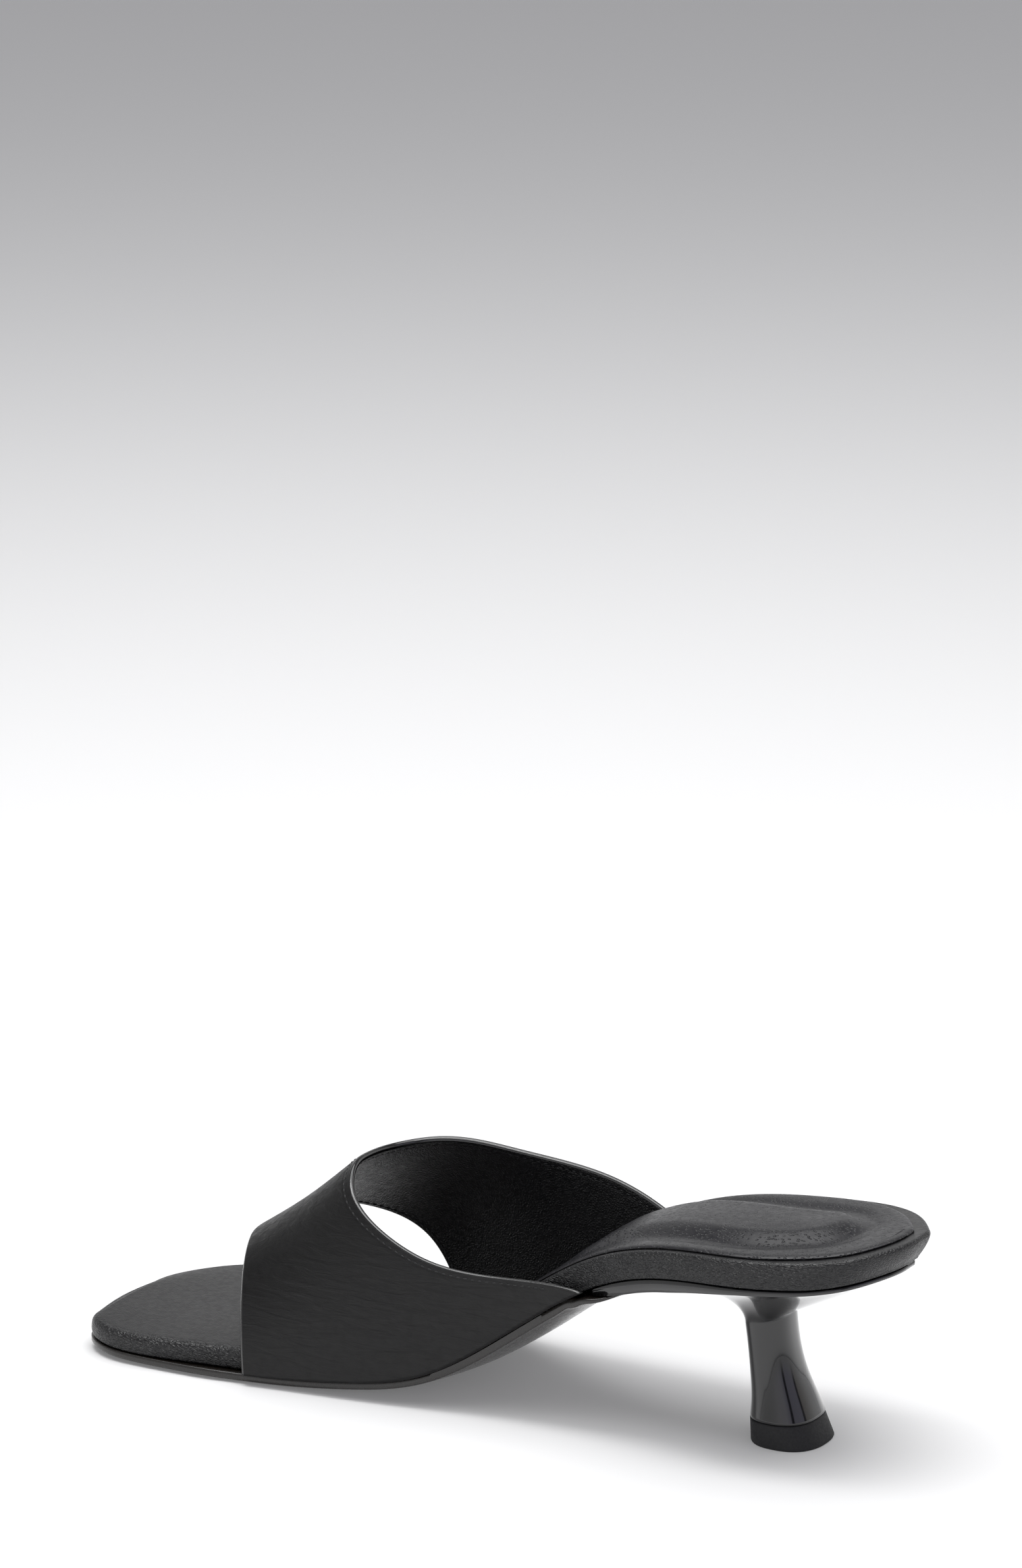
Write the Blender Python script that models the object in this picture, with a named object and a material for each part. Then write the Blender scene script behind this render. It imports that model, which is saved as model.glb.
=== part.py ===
"""An open-toe mule with one wide band over the forefoot and a slim flared kitten heel, for the right foot.

Metres. +X points to the toe, +Y to the medial side and +Z up. The floor is z = 0, and the origin is at the
middle of the top lift's underside. Tables hold shares of the named sizes, one row for each station.
"""
import math
from collections import namedtuple

import bmesh
import bpy
import numpy as np

# Lengths along the foot
FOOTBED_LENGTH = 0.2466
HEEL_SET_IN = 0.0389

# Widths of the footbed
SEAT_WIDTH = 0.0621
WAIST_WIDTH = 0.0501
FOREFOOT_WIDTH = 0.0728

# Heights of the footbed's underside over the floor
SEAT_HEIGHT = 0.0524
TREAD_DEPTH = 0.0033
TOE_SPRING = 0.0009

# Footbed band, measured square to its slope
BAND_AT_HEEL = 0.0076
BAND_AT_TOE = 0.0052
BAND_EDGE_ROUND = 0.0016
TOE_BOW = 0.0014

# The back of the band and the heel's plate lean in under the seat
BACK_UNDERCUT = 0.0034
UNDERCUT_REACH = 0.0250

# Sock lining
SOCK_THICKNESS = 0.0009
SOCK_BORDER = 0.0032
SOCK_CUSHION = 0.0016
SOCK_REACH = 0.165

# Upper
UPPER_WALL = 0.0018
INSTEP_HEIGHT = 0.0717
INSTEP_LEAN = 0.0107
ARCH_FULLNESS = 2.22
FRONT_REACH = 0.2021
THROAT_REACH = 0.1679

# Outsole
OUTSOLE_EDGE = 0.0024
OUTSOLE_WAIST_CROWN = 0.0032
OUTSOLE_MARGIN = 0.0002
OUTSOLE_TAIL = 0.079
OUTSOLE_SKIVE = 0.0007
OUTSOLE_SKIVE_LENGTH = 0.0200
OUTSOLE_TAIL_ROUND = 0.0123
OUTSOLE_BEVEL = 0.0010
NOSE_RAMP = 0.0040
SPREAD_RUN_OUT = 0.0300
SPREAD_START = 0.0040

# Heel
PLATE_REACH = 0.0915
PLATE_EDGE = 0.0036
PLATE_INSET = 0.0006
PLATE_BEVEL = 0.0004
PLATE_NOSE_ROUND = 0.0039
NECK_LENGTH = 0.0128
NECK_WIDTH = 0.0160
NECK_HEIGHT = 0.0325
NECK_FORWARD = 0.0069
STEM_FULLNESS = 2.4

# Top lift
LIFT_LENGTH = 0.0210
LIFT_WIDTH = 0.0240
LIFT_HEIGHT = 0.0068
LIFT_TAPER = 0.0012
LIFT_BEVEL = 0.0003

# Clearance between pieces that touch, and between the upper and the footbed's side
GAP = 0.0003
SIDE_GAP = 0.0004

# Mesh steps
STATIONS = 38
COLUMNS = 3
UPPER_ROUND_STEPS = 38
UPPER_LENGTH_STEPS = 12
SWEEP_STEPS = 7
STEM_STEPS = 6
LIFT_STEPS = 48

Outline = namedtuple("Outline", "along medial lateral across")
OUTLINE = (
    Outline(0.000, 0.056, 0.023, SEAT_WIDTH),
    Outline(0.012, 0.242, 0.130, SEAT_WIDTH),
    Outline(0.040, 0.398, 0.291, SEAT_WIDTH),
    Outline(0.100, 0.499, 0.448, SEAT_WIDTH),
    Outline(0.170, 0.538, 0.462, SEAT_WIDTH),
    Outline(0.260, 0.478, 0.443, SEAT_WIDTH),
    Outline(0.360, 0.493, 0.513, WAIST_WIDTH),
    Outline(0.460, 0.473, 0.527, WAIST_WIDTH),
    Outline(0.560, 0.545, 0.597, WAIST_WIDTH),
    Outline(0.650, 0.422, 0.475, FOREFOOT_WIDTH),
    Outline(0.730, 0.456, 0.501, FOREFOOT_WIDTH),
    Outline(0.810, 0.499, 0.527, FOREFOOT_WIDTH),
    Outline(0.880, 0.533, 0.494, FOREFOOT_WIDTH),
    Outline(0.940, 0.537, 0.405, FOREFOOT_WIDTH),
    Outline(0.980, 0.484, 0.245, FOREFOOT_WIDTH),
    Outline(1.000, 0.367, 0.037, FOREFOOT_WIDTH),
)

Profile = namedtuple("Profile", "along rise spring")
PROFILE = (
    Profile(0.00, 1.090, 0.00),
    Profile(0.08, 1.031, 0.00),
    Profile(0.17, 1.000, 0.00),
    Profile(0.26, 0.947, 0.00),
    Profile(0.36, 0.774, 0.00),
    Profile(0.46, 0.438, 0.00),
    Profile(0.56, 0.130, 0.00),
    Profile(0.65, 0.033, 0.00),
    Profile(0.73, 0.000, 0.00),
    Profile(0.82, 0.000, 0.00),
    Profile(0.91, 0.000, 0.15),
    Profile(1.00, 0.000, 1.00),
)

Band = namedtuple("Band", "along heel_share")
BAND = (Band(0.0, 1.00), Band(0.5, 0.92), Band(0.8, 0.25), Band(1.0, 0.00))

Arch = namedtuple("Arch", "along height lean")
ARCH = (
    Arch(0.320, 0.766, 0.15),
    Arch(0.442, 0.951, 0.49),
    Arch(0.543, 1.000, 0.82),
    Arch(0.644, 0.884, 0.85),
    Arch(0.746, 0.623, 0.55),
    Arch(0.867, 0.333, 0.25),
)

# Edges of the band around the foot, from the medial sole edge over the instep to the lateral sole edge
Edges = namedtuple("Edges", "around front topline")
EDGES = (
    Edges(0.000, 0.944, 0.532),
    Edges(0.125, 0.951, 0.798),
    Edges(0.250, 0.964, 0.940),
    Edges(0.375, 0.985, 0.986),
    Edges(0.500, 1.000, 1.000),
    Edges(0.625, 0.966, 0.972),
    Edges(0.750, 0.928, 0.838),
    Edges(0.875, 0.860, 0.654),
    Edges(1.000, 0.808, 0.514),
)

Crown = namedtuple("Crown", "along share")
OUTSOLE_CROWN = (
    Crown(0.30, 0.25),
    Crown(0.38, 0.85),
    Crown(0.44, 1.00),
    Crown(0.52, 0.90),
    Crown(0.60, 0.35),
    Crown(0.67, 0.00),
    Crown(1.00, 0.00),
)
OUTSOLE_TREAD = (
    Crown(0.00, 0.00),
    Crown(0.60, 0.00),
    Crown(0.65, 1.00),
    Crown(0.83, 1.00),
    Crown(0.90, 0.00),
    Crown(1.00, 0.00),
)
SOCK_CROWN = (
    Crown(0.00, 0.30),
    Crown(0.10, 0.95),
    Crown(0.20, 1.00),
    Crown(0.32, 0.60),
    Crown(0.45, 0.15),
    Crown(1.00, 0.00),
)
PLATE_DEPTH = (
    Crown(0.000, 0.30),
    Crown(0.080, 0.34),
    Crown(0.160, 0.50),
    Crown(0.250, 0.95),
    Crown(0.320, 1.00),
    Crown(0.345, 0.75),
    Crown(0.366, 0.20),
)

# Sweep from the plate's edge to the neck: how full it is, and how far down it reaches, around the stem
Sweep = namedtuple("Sweep", "turn fullness drop")
SWEEP = (
    Sweep(-180, 1.00, 0.78),
    Sweep(-135, 1.05, 0.82),
    Sweep(-90, 1.35, 0.92),
    Sweep(-40, 1.80, 1.00),
    Sweep(0, 2.00, 1.00),
    Sweep(40, 1.80, 1.00),
    Sweep(90, 1.35, 0.92),
    Sweep(135, 1.05, 0.82),
    Sweep(180, 1.00, 0.78),
)

Stem = namedtuple("Stem", "height slimming lean")
STEM = (
    Stem(0.00, 0.00, 0.22),
    Stem(0.18, 0.36, 0.36),
    Stem(0.38, 0.69, 0.56),
    Stem(0.58, 0.90, 0.74),
    Stem(0.78, 1.00, 0.88),
    Stem(1.00, 1.00, 1.00),
)


def spline(xs, ys):
    """A natural cubic spline through the given points, as a function of x."""
    xs = np.array(xs, float)
    ys = np.array(ys, float)
    step = np.diff(xs)
    rise = np.diff(ys) / step
    matrix = np.eye(len(xs))
    right = np.zeros(len(xs))
    for i in range(1, len(xs) - 1):
        matrix[i, i - 1:i + 2] = step[i - 1], 2 * (step[i - 1] + step[i]), step[i]
        right[i] = 6 * (rise[i] - rise[i - 1])
    bend = np.linalg.solve(matrix, right)

    def at(x):
        x = np.asarray(x, float)
        k = np.clip(np.searchsorted(xs, x) - 1, 0, len(xs) - 2)
        a = (xs[k + 1] - x) / step[k]
        b = (x - xs[k]) / step[k]
        curve = (a**3 - a) * bend[k] + (b**3 - b) * bend[k + 1]
        return a * ys[k] + b * ys[k + 1] + curve * step[k]**2 / 6

    return at


def column(rows, name):
    return [getattr(row, name) for row in rows]


def turn_of(along):
    """Spaces the outline's stations as on a circle, so both ends of the outline come out round."""
    return np.arccos(np.clip(1 - 2 * np.asarray(along, float), -1, 1))


medial_at = spline(turn_of(column(OUTLINE, "along")), [row.medial * row.across for row in OUTLINE])
lateral_at = spline(turn_of(column(OUTLINE, "along")), [row.lateral * row.across for row in OUTLINE])
rise_at = spline(column(PROFILE, "along"), column(PROFILE, "rise"))
spring_at = spline(column(PROFILE, "along"), column(PROFILE, "spring"))
arch_height_at = spline(column(ARCH, "along"), column(ARCH, "height"))


def along_of(x):
    return (np.asarray(x, float) + HEEL_SET_IN) / FOOTBED_LENGTH


def x_of(along):
    return np.asarray(along, float) * FOOTBED_LENGTH - HEEL_SET_IN


def medial_edge(x):
    return medial_at(turn_of(along_of(x)))


def lateral_edge(x):
    return -lateral_at(turn_of(along_of(x)))


def underside(x):
    """Height of the footbed's underside."""
    along = along_of(x)
    return TREAD_DEPTH + rise_at(along) * (SEAT_HEIGHT - TREAD_DEPTH) + spring_at(along) * TOE_SPRING


def steepness(x):
    """How much longer an upright measure is than one square to the slope."""
    step = 0.0005
    slope = (underside(x + step) - underside(x - step)) / (2 * step)
    return np.sqrt(1 + slope**2)


def top_side(x):
    """Height of the footbed's top face."""
    heel_share = np.interp(along_of(x), column(BAND, "along"), column(BAND, "heel_share"))
    band = BAND_AT_TOE + heel_share * (BAND_AT_HEEL - BAND_AT_TOE)
    return underside(x) + band * steepness(x)


def crown_share(rows, x):
    return np.interp(along_of(x), column(rows, "along"), column(rows, "share"))


def stations(first, last, rounding, extra):
    """Shares along the foot between two ends, closer together at an end that is rounded off."""
    turns = np.linspace(0, math.pi, STATIONS)
    shares = (1 - np.cos(turns)) / 2
    ease = 1 - np.cos(np.linspace(0, math.pi / 2, 5))
    tail = first + rounding * ease if first > 0 else np.zeros(0)
    head = last - rounding * ease if last < 1 else np.zeros(0)
    low = first + rounding if first > 0 else -1
    high = last - rounding if last < 1 else 2
    middle = shares[(shares > low + 0.004) & (shares < high - 0.004)]
    clear = [share for share in middle if all(abs(share - other) > 0.006 for other in extra)]
    return np.unique(np.concatenate([tail, clear, extra, head]))


def rounded_share(along, first, last, rounding, fullness=2.5):
    """Narrows the outline to a rounded end where a piece stops short of the heel or the toe."""
    past = np.zeros_like(along)
    if first > 0:
        past = np.maximum(past, (first + rounding - along) / rounding)
    if last < 1:
        past = np.maximum(past, (along - last + rounding) / rounding)
    return (1 - np.clip(past, 0, 0.985)**fullness)**(1 / fullness)


def ring(first=0.0, last=1.0, rounding=0.03, extra=()):
    """The outline as a closed loop of points: medial side, front end, lateral side, back end."""
    along = stations(first, last, rounding, extra)
    x = x_of(along)
    middle = (medial_edge(x) + lateral_edge(x)) / 2
    half = (medial_edge(x) - lateral_edge(x)) / 2 * rounded_share(along, first, last, rounding)
    medial = np.stack([x, middle + half], 1)
    lateral = np.stack([x, middle - half], 1)
    across = np.linspace(0, 1, COLUMNS + 2)[1:-1, None]
    front = medial[-1] * (1 - across) + lateral[-1] * across
    front[:, 0] += (TOE_BOW if last == 1 else 0) * np.sin(math.pi * across[:, 0])
    back = lateral[0] * (1 - across) + medial[0] * across
    return np.concatenate([medial, front, lateral[::-1], back]), len(along)


def inset(points, distance):
    """Moves a closed loop inwards, or outwards where the distance is negative."""
    tangent = np.roll(points, -1, 0) - np.roll(points, 1, 0)
    tangent /= np.linalg.norm(tangent, axis=1)[:, None]
    inward = np.stack([tangent[:, 1], -tangent[:, 0]], 1)
    return points + inward * np.asarray(distance)[..., None]


def new_object(name, vertices, faces, collection, material):
    mesh = bpy.data.meshes.new(name)
    made = bmesh.new()
    points = [made.verts.new(vertex) for vertex in vertices]
    for face in faces:
        made.faces.new([points[i] for i in face])
    bmesh.ops.recalc_face_normals(made, faces=made.faces)
    made.to_mesh(mesh)
    made.free()
    mesh.shade_smooth()
    mesh.set_sharp_from_angle(angle=math.radians(40))
    mesh.materials.append(material)
    item = bpy.data.objects.new(name, mesh)
    collection.objects.link(item)
    return item


def strip_faces(size, rings, closed=True):
    """Quads between rings of the same size, stored one after another."""
    span = size if closed else size - 1
    faces = []
    for level in range(rings - 1):
        for i in range(span):
            a = level * size + i
            b = level * size + (i + 1) % size
            faces.append((a, b, b + size, a + size))
    return faces


def cap(loop, count, offset, start, height_at, crown_at):
    """Closes a ring of the outline with strips across it. Gives the new points and the faces."""
    size = len(loop)
    rows = [[offset + i for i in range(count)]]
    points = []
    shares = np.linspace(0, 1, COLUMNS + 2)[1:-1]
    for k, share in enumerate(shares):
        row = [offset + 2 * count + 2 * COLUMNS - 1 - k]
        for i in range(1, count - 1):
            medial = loop[i]
            lateral = loop[2 * count + COLUMNS - 1 - i]
            x, y = medial[:2] * (1 - share) + lateral[:2] * share
            row.append(start + len(points))
            points.append((x, y, float(height_at(x) + crown_at(x, share))))
        row.append(offset + count + k)
        rows.append(row)
    rows.append([offset + 2 * count + COLUMNS - 1 - i for i in range(count)])
    faces = []
    for low, high in zip(rows[:-1], rows[1:]):
        for i in range(count - 1):
            faces.append((low[i], low[i + 1], high[i + 1], high[i]))
    assert size == 2 * count + 2 * COLUMNS
    return points, faces


def no_crown(x, share):
    return 0.0


def pad(name, levels, loop, count, collection, material, low_crown=no_crown, high_crown=no_crown):
    """A closed layer of the sole. Each level has its inset and its height, from the underside up."""
    vertices = []
    for distance, height_at in levels:
        flat = inset(loop, distance)
        vertices += [(x, y, float(height_at(x))) for x, y in flat]
    size = len(loop)
    faces = strip_faces(size, len(levels))
    for level, crown_at in ((0, low_crown), (len(levels) - 1, high_crown)):
        edge = np.array(vertices[level * size:(level + 1) * size])
        points, more = cap(edge, count, level * size, len(vertices), levels[level][1], crown_at)
        vertices += points
        faces += more
    return new_object(name, vertices, faces, collection, material)


def undercut(loop):
    """How far the lowest part of the seat's edge leans in, most at the very back."""
    back = np.clip(1 - (loop[:, 0] + HEEL_SET_IN) / UNDERCUT_REACH, 0, 1)
    return BACK_UNDERCUT * back * back * (3 - 2 * back)


def dome(share, fullness=2.4):
    return 1 - abs(2 * share - 1)**fullness


def make_footbed(collection, material):
    loop, count = ring()
    turn = BAND_EDGE_ROUND
    lean = undercut(loop)
    levels = [
        (lean + 0.8 * turn, lambda x: underside(x)),
        (0.6 * lean + 0.2 * turn, lambda x: underside(x) + 0.8 * turn),
        (0.1 * lean, lambda x: top_side(x) - 1.6 * turn),
        (0.0, lambda x: top_side(x) - turn),
        (0.3 * turn, lambda x: top_side(x) - 0.35 * turn),
        (turn, lambda x: top_side(x)),
    ]
    return pad("footbed", levels, loop, count, collection, material)


def make_sock(collection, material):
    loop, count = ring(last=SOCK_REACH / FOOTBED_LENGTH)
    turn = 0.5 * SOCK_THICKNESS
    seat = lambda x: top_side(x) + GAP
    levels = [
        (SOCK_BORDER, seat),
        (SOCK_BORDER, lambda x: seat(x) + SOCK_THICKNESS - turn),
        (SOCK_BORDER + turn, lambda x: seat(x) + SOCK_THICKNESS),
    ]
    cushion = lambda x, share: SOCK_CUSHION * crown_share(SOCK_CROWN, x) * dome(share)
    return pad("sock", levels, loop, count, collection, material, high_crown=cushion)


def plate_depth(x):
    """Upright depth of the heel's top plate at its edge."""
    return PLATE_EDGE * crown_share(PLATE_DEPTH, x) * steepness(x)


def outsole_top(x):
    """The outsole lies under the footbed, and under the heel's nose at its tail."""
    nose = x_of(PLATE_REACH / FOOTBED_LENGTH)
    under_nose = np.clip((nose + NOSE_RAMP - x) / (NOSE_RAMP - GAP), 0, 1)
    return underside(x) - GAP - under_nose * (plate_depth(np.minimum(x, nose)) + GAP)


def outsole_depth(x):
    """Upright depth of the outsole at its edge, skived thin at its tail."""
    tail = x_of(OUTSOLE_TAIL / FOOTBED_LENGTH)
    share = np.clip((x - tail) / OUTSOLE_SKIVE_LENGTH, 0, 1)
    return (OUTSOLE_SKIVE + share * (OUTSOLE_EDGE - OUTSOLE_SKIVE)) * steepness(x)


def outsole_bottom(x):
    """Height of the outsole's lower edge, which stays over the floor."""
    return np.maximum(outsole_top(x) - outsole_depth(x), 0.0)


def outsole_spread(x):
    """How far the outsole stands out past the footbed, under the upper's wall."""
    wall = UPPER_WALL + SIDE_GAP
    front = x_of(FRONT_REACH / FOOTBED_LENGTH)
    ahead = np.clip((x - front + SPREAD_START) / SPREAD_RUN_OUT, 0, 1)
    return OUTSOLE_MARGIN + wall * (1 - ahead * ahead * (3 - 2 * ahead))


def make_outsole(collection, material):
    nose = PLATE_REACH / FOOTBED_LENGTH
    ramp = NOSE_RAMP / FOOTBED_LENGTH
    extra = (nose - 0.5 * ramp, nose + GAP / FOOTBED_LENGTH, nose + ramp)
    tail = OUTSOLE_TAIL / FOOTBED_LENGTH
    loop, count = ring(first=tail, rounding=OUTSOLE_TAIL_ROUND / FOOTBED_LENGTH, extra=extra)
    spread = outsole_spread(loop[:, 0])
    bevel = OUTSOLE_BEVEL
    levels = [
        (2.5 * bevel - spread, outsole_bottom),
        (0.4 * bevel - spread, lambda x: outsole_bottom(x) + 0.4 * bevel),
        (-spread, lambda x: outsole_bottom(x) + bevel),
        (-spread, outsole_top),
    ]

    def crown(x, share):
        """The waist is crowned and the tread lies flat on the floor."""
        clear = float(outsole_bottom(x))
        deeper = OUTSOLE_WAIST_CROWN * crown_share(OUTSOLE_CROWN, x) * steepness(x) * dome(share)
        return -min(clear, max(deeper, clear * crown_share(OUTSOLE_TREAD, x)))

    return pad("outsole", levels, loop, count, collection, material, low_crown=crown)


def superellipse(turn, half_length, half_width, fullness):
    """Distance from the middle to the section's edge in the direction of the turn."""
    a = np.abs(np.cos(turn) / half_length)**fullness
    b = np.abs(np.sin(turn) / half_width)**fullness
    return (a + b)**(-1 / fullness)


def stem_section(turn, height_share):
    """Points of the stem at a share of the height from the lift to the neck."""
    slimming = np.interp(height_share, column(STEM, "height"), column(STEM, "slimming"))
    lean = np.interp(height_share, column(STEM, "height"), column(STEM, "lean"))
    foot_length = LIFT_LENGTH - 2 * LIFT_TAPER
    foot_width = LIFT_WIDTH - LIFT_TAPER
    half_length = (foot_length + slimming * (NECK_LENGTH - foot_length)) / 2
    half_width = (foot_width + slimming * (NECK_WIDTH - foot_width)) / 2
    reach = superellipse(turn, half_length, half_width, STEM_FULLNESS)
    return np.stack([lean * NECK_FORWARD + reach * np.cos(turn), reach * np.sin(turn)], 1)


def make_heel(collection, material):
    rounding = PLATE_NOSE_ROUND / FOOTBED_LENGTH
    loop, count = ring(last=PLATE_REACH / FOOTBED_LENGTH, rounding=rounding)
    edge = inset(loop, PLATE_INSET + undercut(loop))
    turn = np.arctan2(edge[:, 1], edge[:, 0] - NECK_FORWARD)
    degrees = np.degrees(turn)
    fullness = np.interp(degrees, column(SWEEP, "turn"), column(SWEEP, "fullness"))
    drop = np.interp(degrees, column(SWEEP, "turn"), column(SWEEP, "drop"))
    size = len(loop)
    seat = lambda x: underside(x) - GAP
    bevel = PLATE_BEVEL

    vertices = []
    top = inset(edge, bevel)
    vertices += [(x, y, float(seat(x))) for x, y in top]
    vertices += [(x, y, float(seat(x) - bevel)) for x, y in edge]
    low = seat(edge[:, 0]) - np.maximum(plate_depth(edge[:, 0]), 1.5 * bevel)
    vertices += [(x, y, z) for (x, y), z in zip(edge, low)]

    neck = stem_section(turn, 1.0)
    neck_top = seat(neck[:, 0]) - plate_depth(neck[:, 0])
    fall = neck_top - NECK_HEIGHT
    for step in range(1, SWEEP_STEPS):
        angle = step / SWEEP_STEPS * math.pi / 2
        inwards = np.sin(angle)**(2 / fullness)
        downwards = 1 - np.cos(angle)**(2 / fullness)
        points = edge + (neck - edge) * inwards[:, None]
        depth = plate_depth(edge[:, 0]) * (1 - inwards) + plate_depth(neck[:, 0]) * inwards
        reach = downwards * drop * fall
        vertices += [(x, y, z) for (x, y), z in zip(points, seat(points[:, 0]) - depth - reach)]
    vertices += [(x, y, z) for (x, y), z in zip(neck, neck_top - drop * fall)]

    foot = LIFT_HEIGHT + GAP
    shares = np.linspace(1, 0, STEM_STEPS + 2)[1:]
    for share in shares:
        points = stem_section(turn, share)
        height = foot + share * (NECK_HEIGHT - foot)
        vertices += [(x, y, height) for x, y in points]

    rings = 3 + SWEEP_STEPS + len(shares)
    faces = strip_faces(size, rings)
    points, more = cap(np.array(vertices[:size]), count, 0, len(vertices), seat, no_crown)
    vertices += points
    faces += more
    start = (rings - 1) * size
    points, more = cap(np.array(vertices[start:start + size]), count, start, len(vertices),
                       lambda x: foot, no_crown)
    vertices += points
    faces += more
    return new_object("heel", vertices, faces, collection, material)


def make_top_lift(collection, material):
    turn = np.linspace(0, 2 * math.pi, LIFT_STEPS, endpoint=False)
    bevel = LIFT_BEVEL
    joint = stem_section(turn, 0.0)
    reach = superellipse(turn, LIFT_LENGTH / 2, LIFT_WIDTH / 2, STEM_FULLNESS)
    floor = np.stack([reach * np.cos(turn), reach * np.sin(turn)], 1)
    vertices = [(x, y, 0.0) for x, y in floor * (1 - bevel / (LIFT_LENGTH / 2))]
    vertices += [(x, y, bevel) for x, y in floor]
    vertices += [(x, y, LIFT_HEIGHT) for x, y in joint]
    size = len(turn)
    faces = strip_faces(size, 3)
    faces.append(tuple(range(size)))
    faces.append(tuple(range(2 * size, 3 * size)))
    return new_object("top_lift", vertices, faces, collection, material)


def last_surface(x, around):
    """A point of the upper's outer face, from the medial sole edge over the instep to the lateral one."""
    height = INSTEP_HEIGHT * arch_height_at(along_of(x))
    lean = INSTEP_LEAN * np.interp(along_of(x), column(ARCH, "along"), column(ARCH, "lean"))
    spread = UPPER_WALL + SIDE_GAP
    cosine = np.cos(math.pi * around)
    sine = np.clip(np.sin(math.pi * around), 0, 1)
    half = np.where(cosine > 0, medial_edge(x) + spread - lean, lean - lateral_edge(x) + spread)
    y = lean + half * np.sign(cosine) * np.abs(cosine)**(2 / ARCH_FULLNESS)
    z = underside(x) + height * sine**(2 / ARCH_FULLNESS)
    return np.stack([x + 0 * y, y, z], -1)


def upper_grid():
    """The upper's outer face as a grid, across from sole edge to sole edge and back from the front edge."""
    around = np.linspace(0, 1, UPPER_ROUND_STEPS + 1)
    front = x_of(FRONT_REACH / FOOTBED_LENGTH * spline(column(EDGES, "around"), column(EDGES, "front"))(around))
    back = x_of(THROAT_REACH / FOOTBED_LENGTH * spline(column(EDGES, "around"), column(EDGES, "topline"))(around))
    share = np.linspace(0, 1, UPPER_LENGTH_STEPS + 1)
    x = front[:, None] * (1 - share) + back[:, None] * share
    return last_surface(x, around[:, None] + 0 * share)


def grid_normals(grid):
    along = np.gradient(grid, axis=1)
    across = np.gradient(grid, axis=0)
    normal = np.cross(along, across)
    normal /= np.linalg.norm(normal, axis=2)[..., None]
    middle = grid.shape[0] // 2
    return normal * np.sign(normal[middle, 0, 2])


def make_upper(collection, material):
    outer = upper_grid()
    normal = grid_normals(outer)
    normal[0, :, 2] = 0
    normal[-1, :, 2] = 0
    normal /= np.linalg.norm(normal, axis=2)[..., None]
    inner = outer - UPPER_WALL * normal
    inner[0, :, 2] = outer[0, :, 2]
    inner[-1, :, 2] = outer[-1, :, 2]
    rows, columns = outer.shape[:2]
    vertices = [tuple(point) for face in (outer, inner) for point in face.reshape(-1, 3)]
    faces = strip_faces(columns, rows, closed=False)
    count = rows * columns
    faces += [tuple(i + count for i in face) for face in faces]
    rim = [(i, 0) for i in range(rows)]
    rim += [(rows - 1, j) for j in range(1, columns)]
    rim += [(i, columns - 1) for i in range(rows - 2, -1, -1)]
    rim += [(0, j) for j in range(columns - 2, 0, -1)]
    index = [i * columns + j for i, j in rim]
    for a, b in zip(index, index[1:] + index[:1]):
        faces.append((a, b, b + count, a + count))
    return new_object("upper", vertices, faces, collection, material)


def leather(name, colour, roughness, coat=0.0):
    material = bpy.data.materials.new(name)
    material.use_nodes = True
    shader = material.node_tree.nodes["Principled BSDF"]
    shader.inputs["Base Color"].default_value = (*colour, 1.0)
    shader.inputs["Roughness"].default_value = roughness
    shader.inputs["Metallic"].default_value = 0.0
    shader.inputs["Coat Weight"].default_value = coat
    return material


def clear_scene():
    for item in list(bpy.data.objects):
        bpy.data.objects.remove(item, do_unlink=True)


def main():
    clear_scene()
    collection = bpy.data.collections.new("kitten_heel_mule")
    bpy.context.scene.collection.children.link(collection)
    make_outsole(collection, leather("outsole_leather", (0.018, 0.016, 0.016), 0.35))
    make_heel(collection, leather("heel_gloss", (0.012, 0.012, 0.014), 0.12, coat=1.0))
    make_top_lift(collection, leather("lift_rubber", (0.020, 0.020, 0.022), 0.75))
    make_footbed(collection, leather("footbed_leather", (0.016, 0.016, 0.018), 0.45))
    make_sock(collection, leather("sock_leather", (0.018, 0.018, 0.022), 0.40))
    make_upper(collection, leather("upper_leather", (0.015, 0.015, 0.017), 0.45))


main()
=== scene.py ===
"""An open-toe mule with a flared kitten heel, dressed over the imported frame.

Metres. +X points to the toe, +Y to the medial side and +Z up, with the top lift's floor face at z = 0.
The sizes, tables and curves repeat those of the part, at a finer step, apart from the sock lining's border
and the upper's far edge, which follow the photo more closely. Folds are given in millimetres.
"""
import math
from collections import namedtuple

import bpy
import numpy as np
from mathutils import Matrix, Vector


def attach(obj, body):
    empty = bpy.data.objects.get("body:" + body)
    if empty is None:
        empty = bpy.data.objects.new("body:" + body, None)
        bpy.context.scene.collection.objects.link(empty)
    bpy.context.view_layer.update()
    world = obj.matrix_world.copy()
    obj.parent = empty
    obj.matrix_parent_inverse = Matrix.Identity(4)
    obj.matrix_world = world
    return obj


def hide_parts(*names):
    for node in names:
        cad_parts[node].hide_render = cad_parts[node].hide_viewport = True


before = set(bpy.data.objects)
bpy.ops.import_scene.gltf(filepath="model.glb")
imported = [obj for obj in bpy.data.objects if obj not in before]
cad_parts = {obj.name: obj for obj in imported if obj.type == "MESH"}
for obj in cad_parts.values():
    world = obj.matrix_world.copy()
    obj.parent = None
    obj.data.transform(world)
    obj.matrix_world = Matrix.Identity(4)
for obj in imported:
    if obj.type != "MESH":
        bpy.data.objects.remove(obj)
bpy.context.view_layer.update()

MM = 0.001

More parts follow.
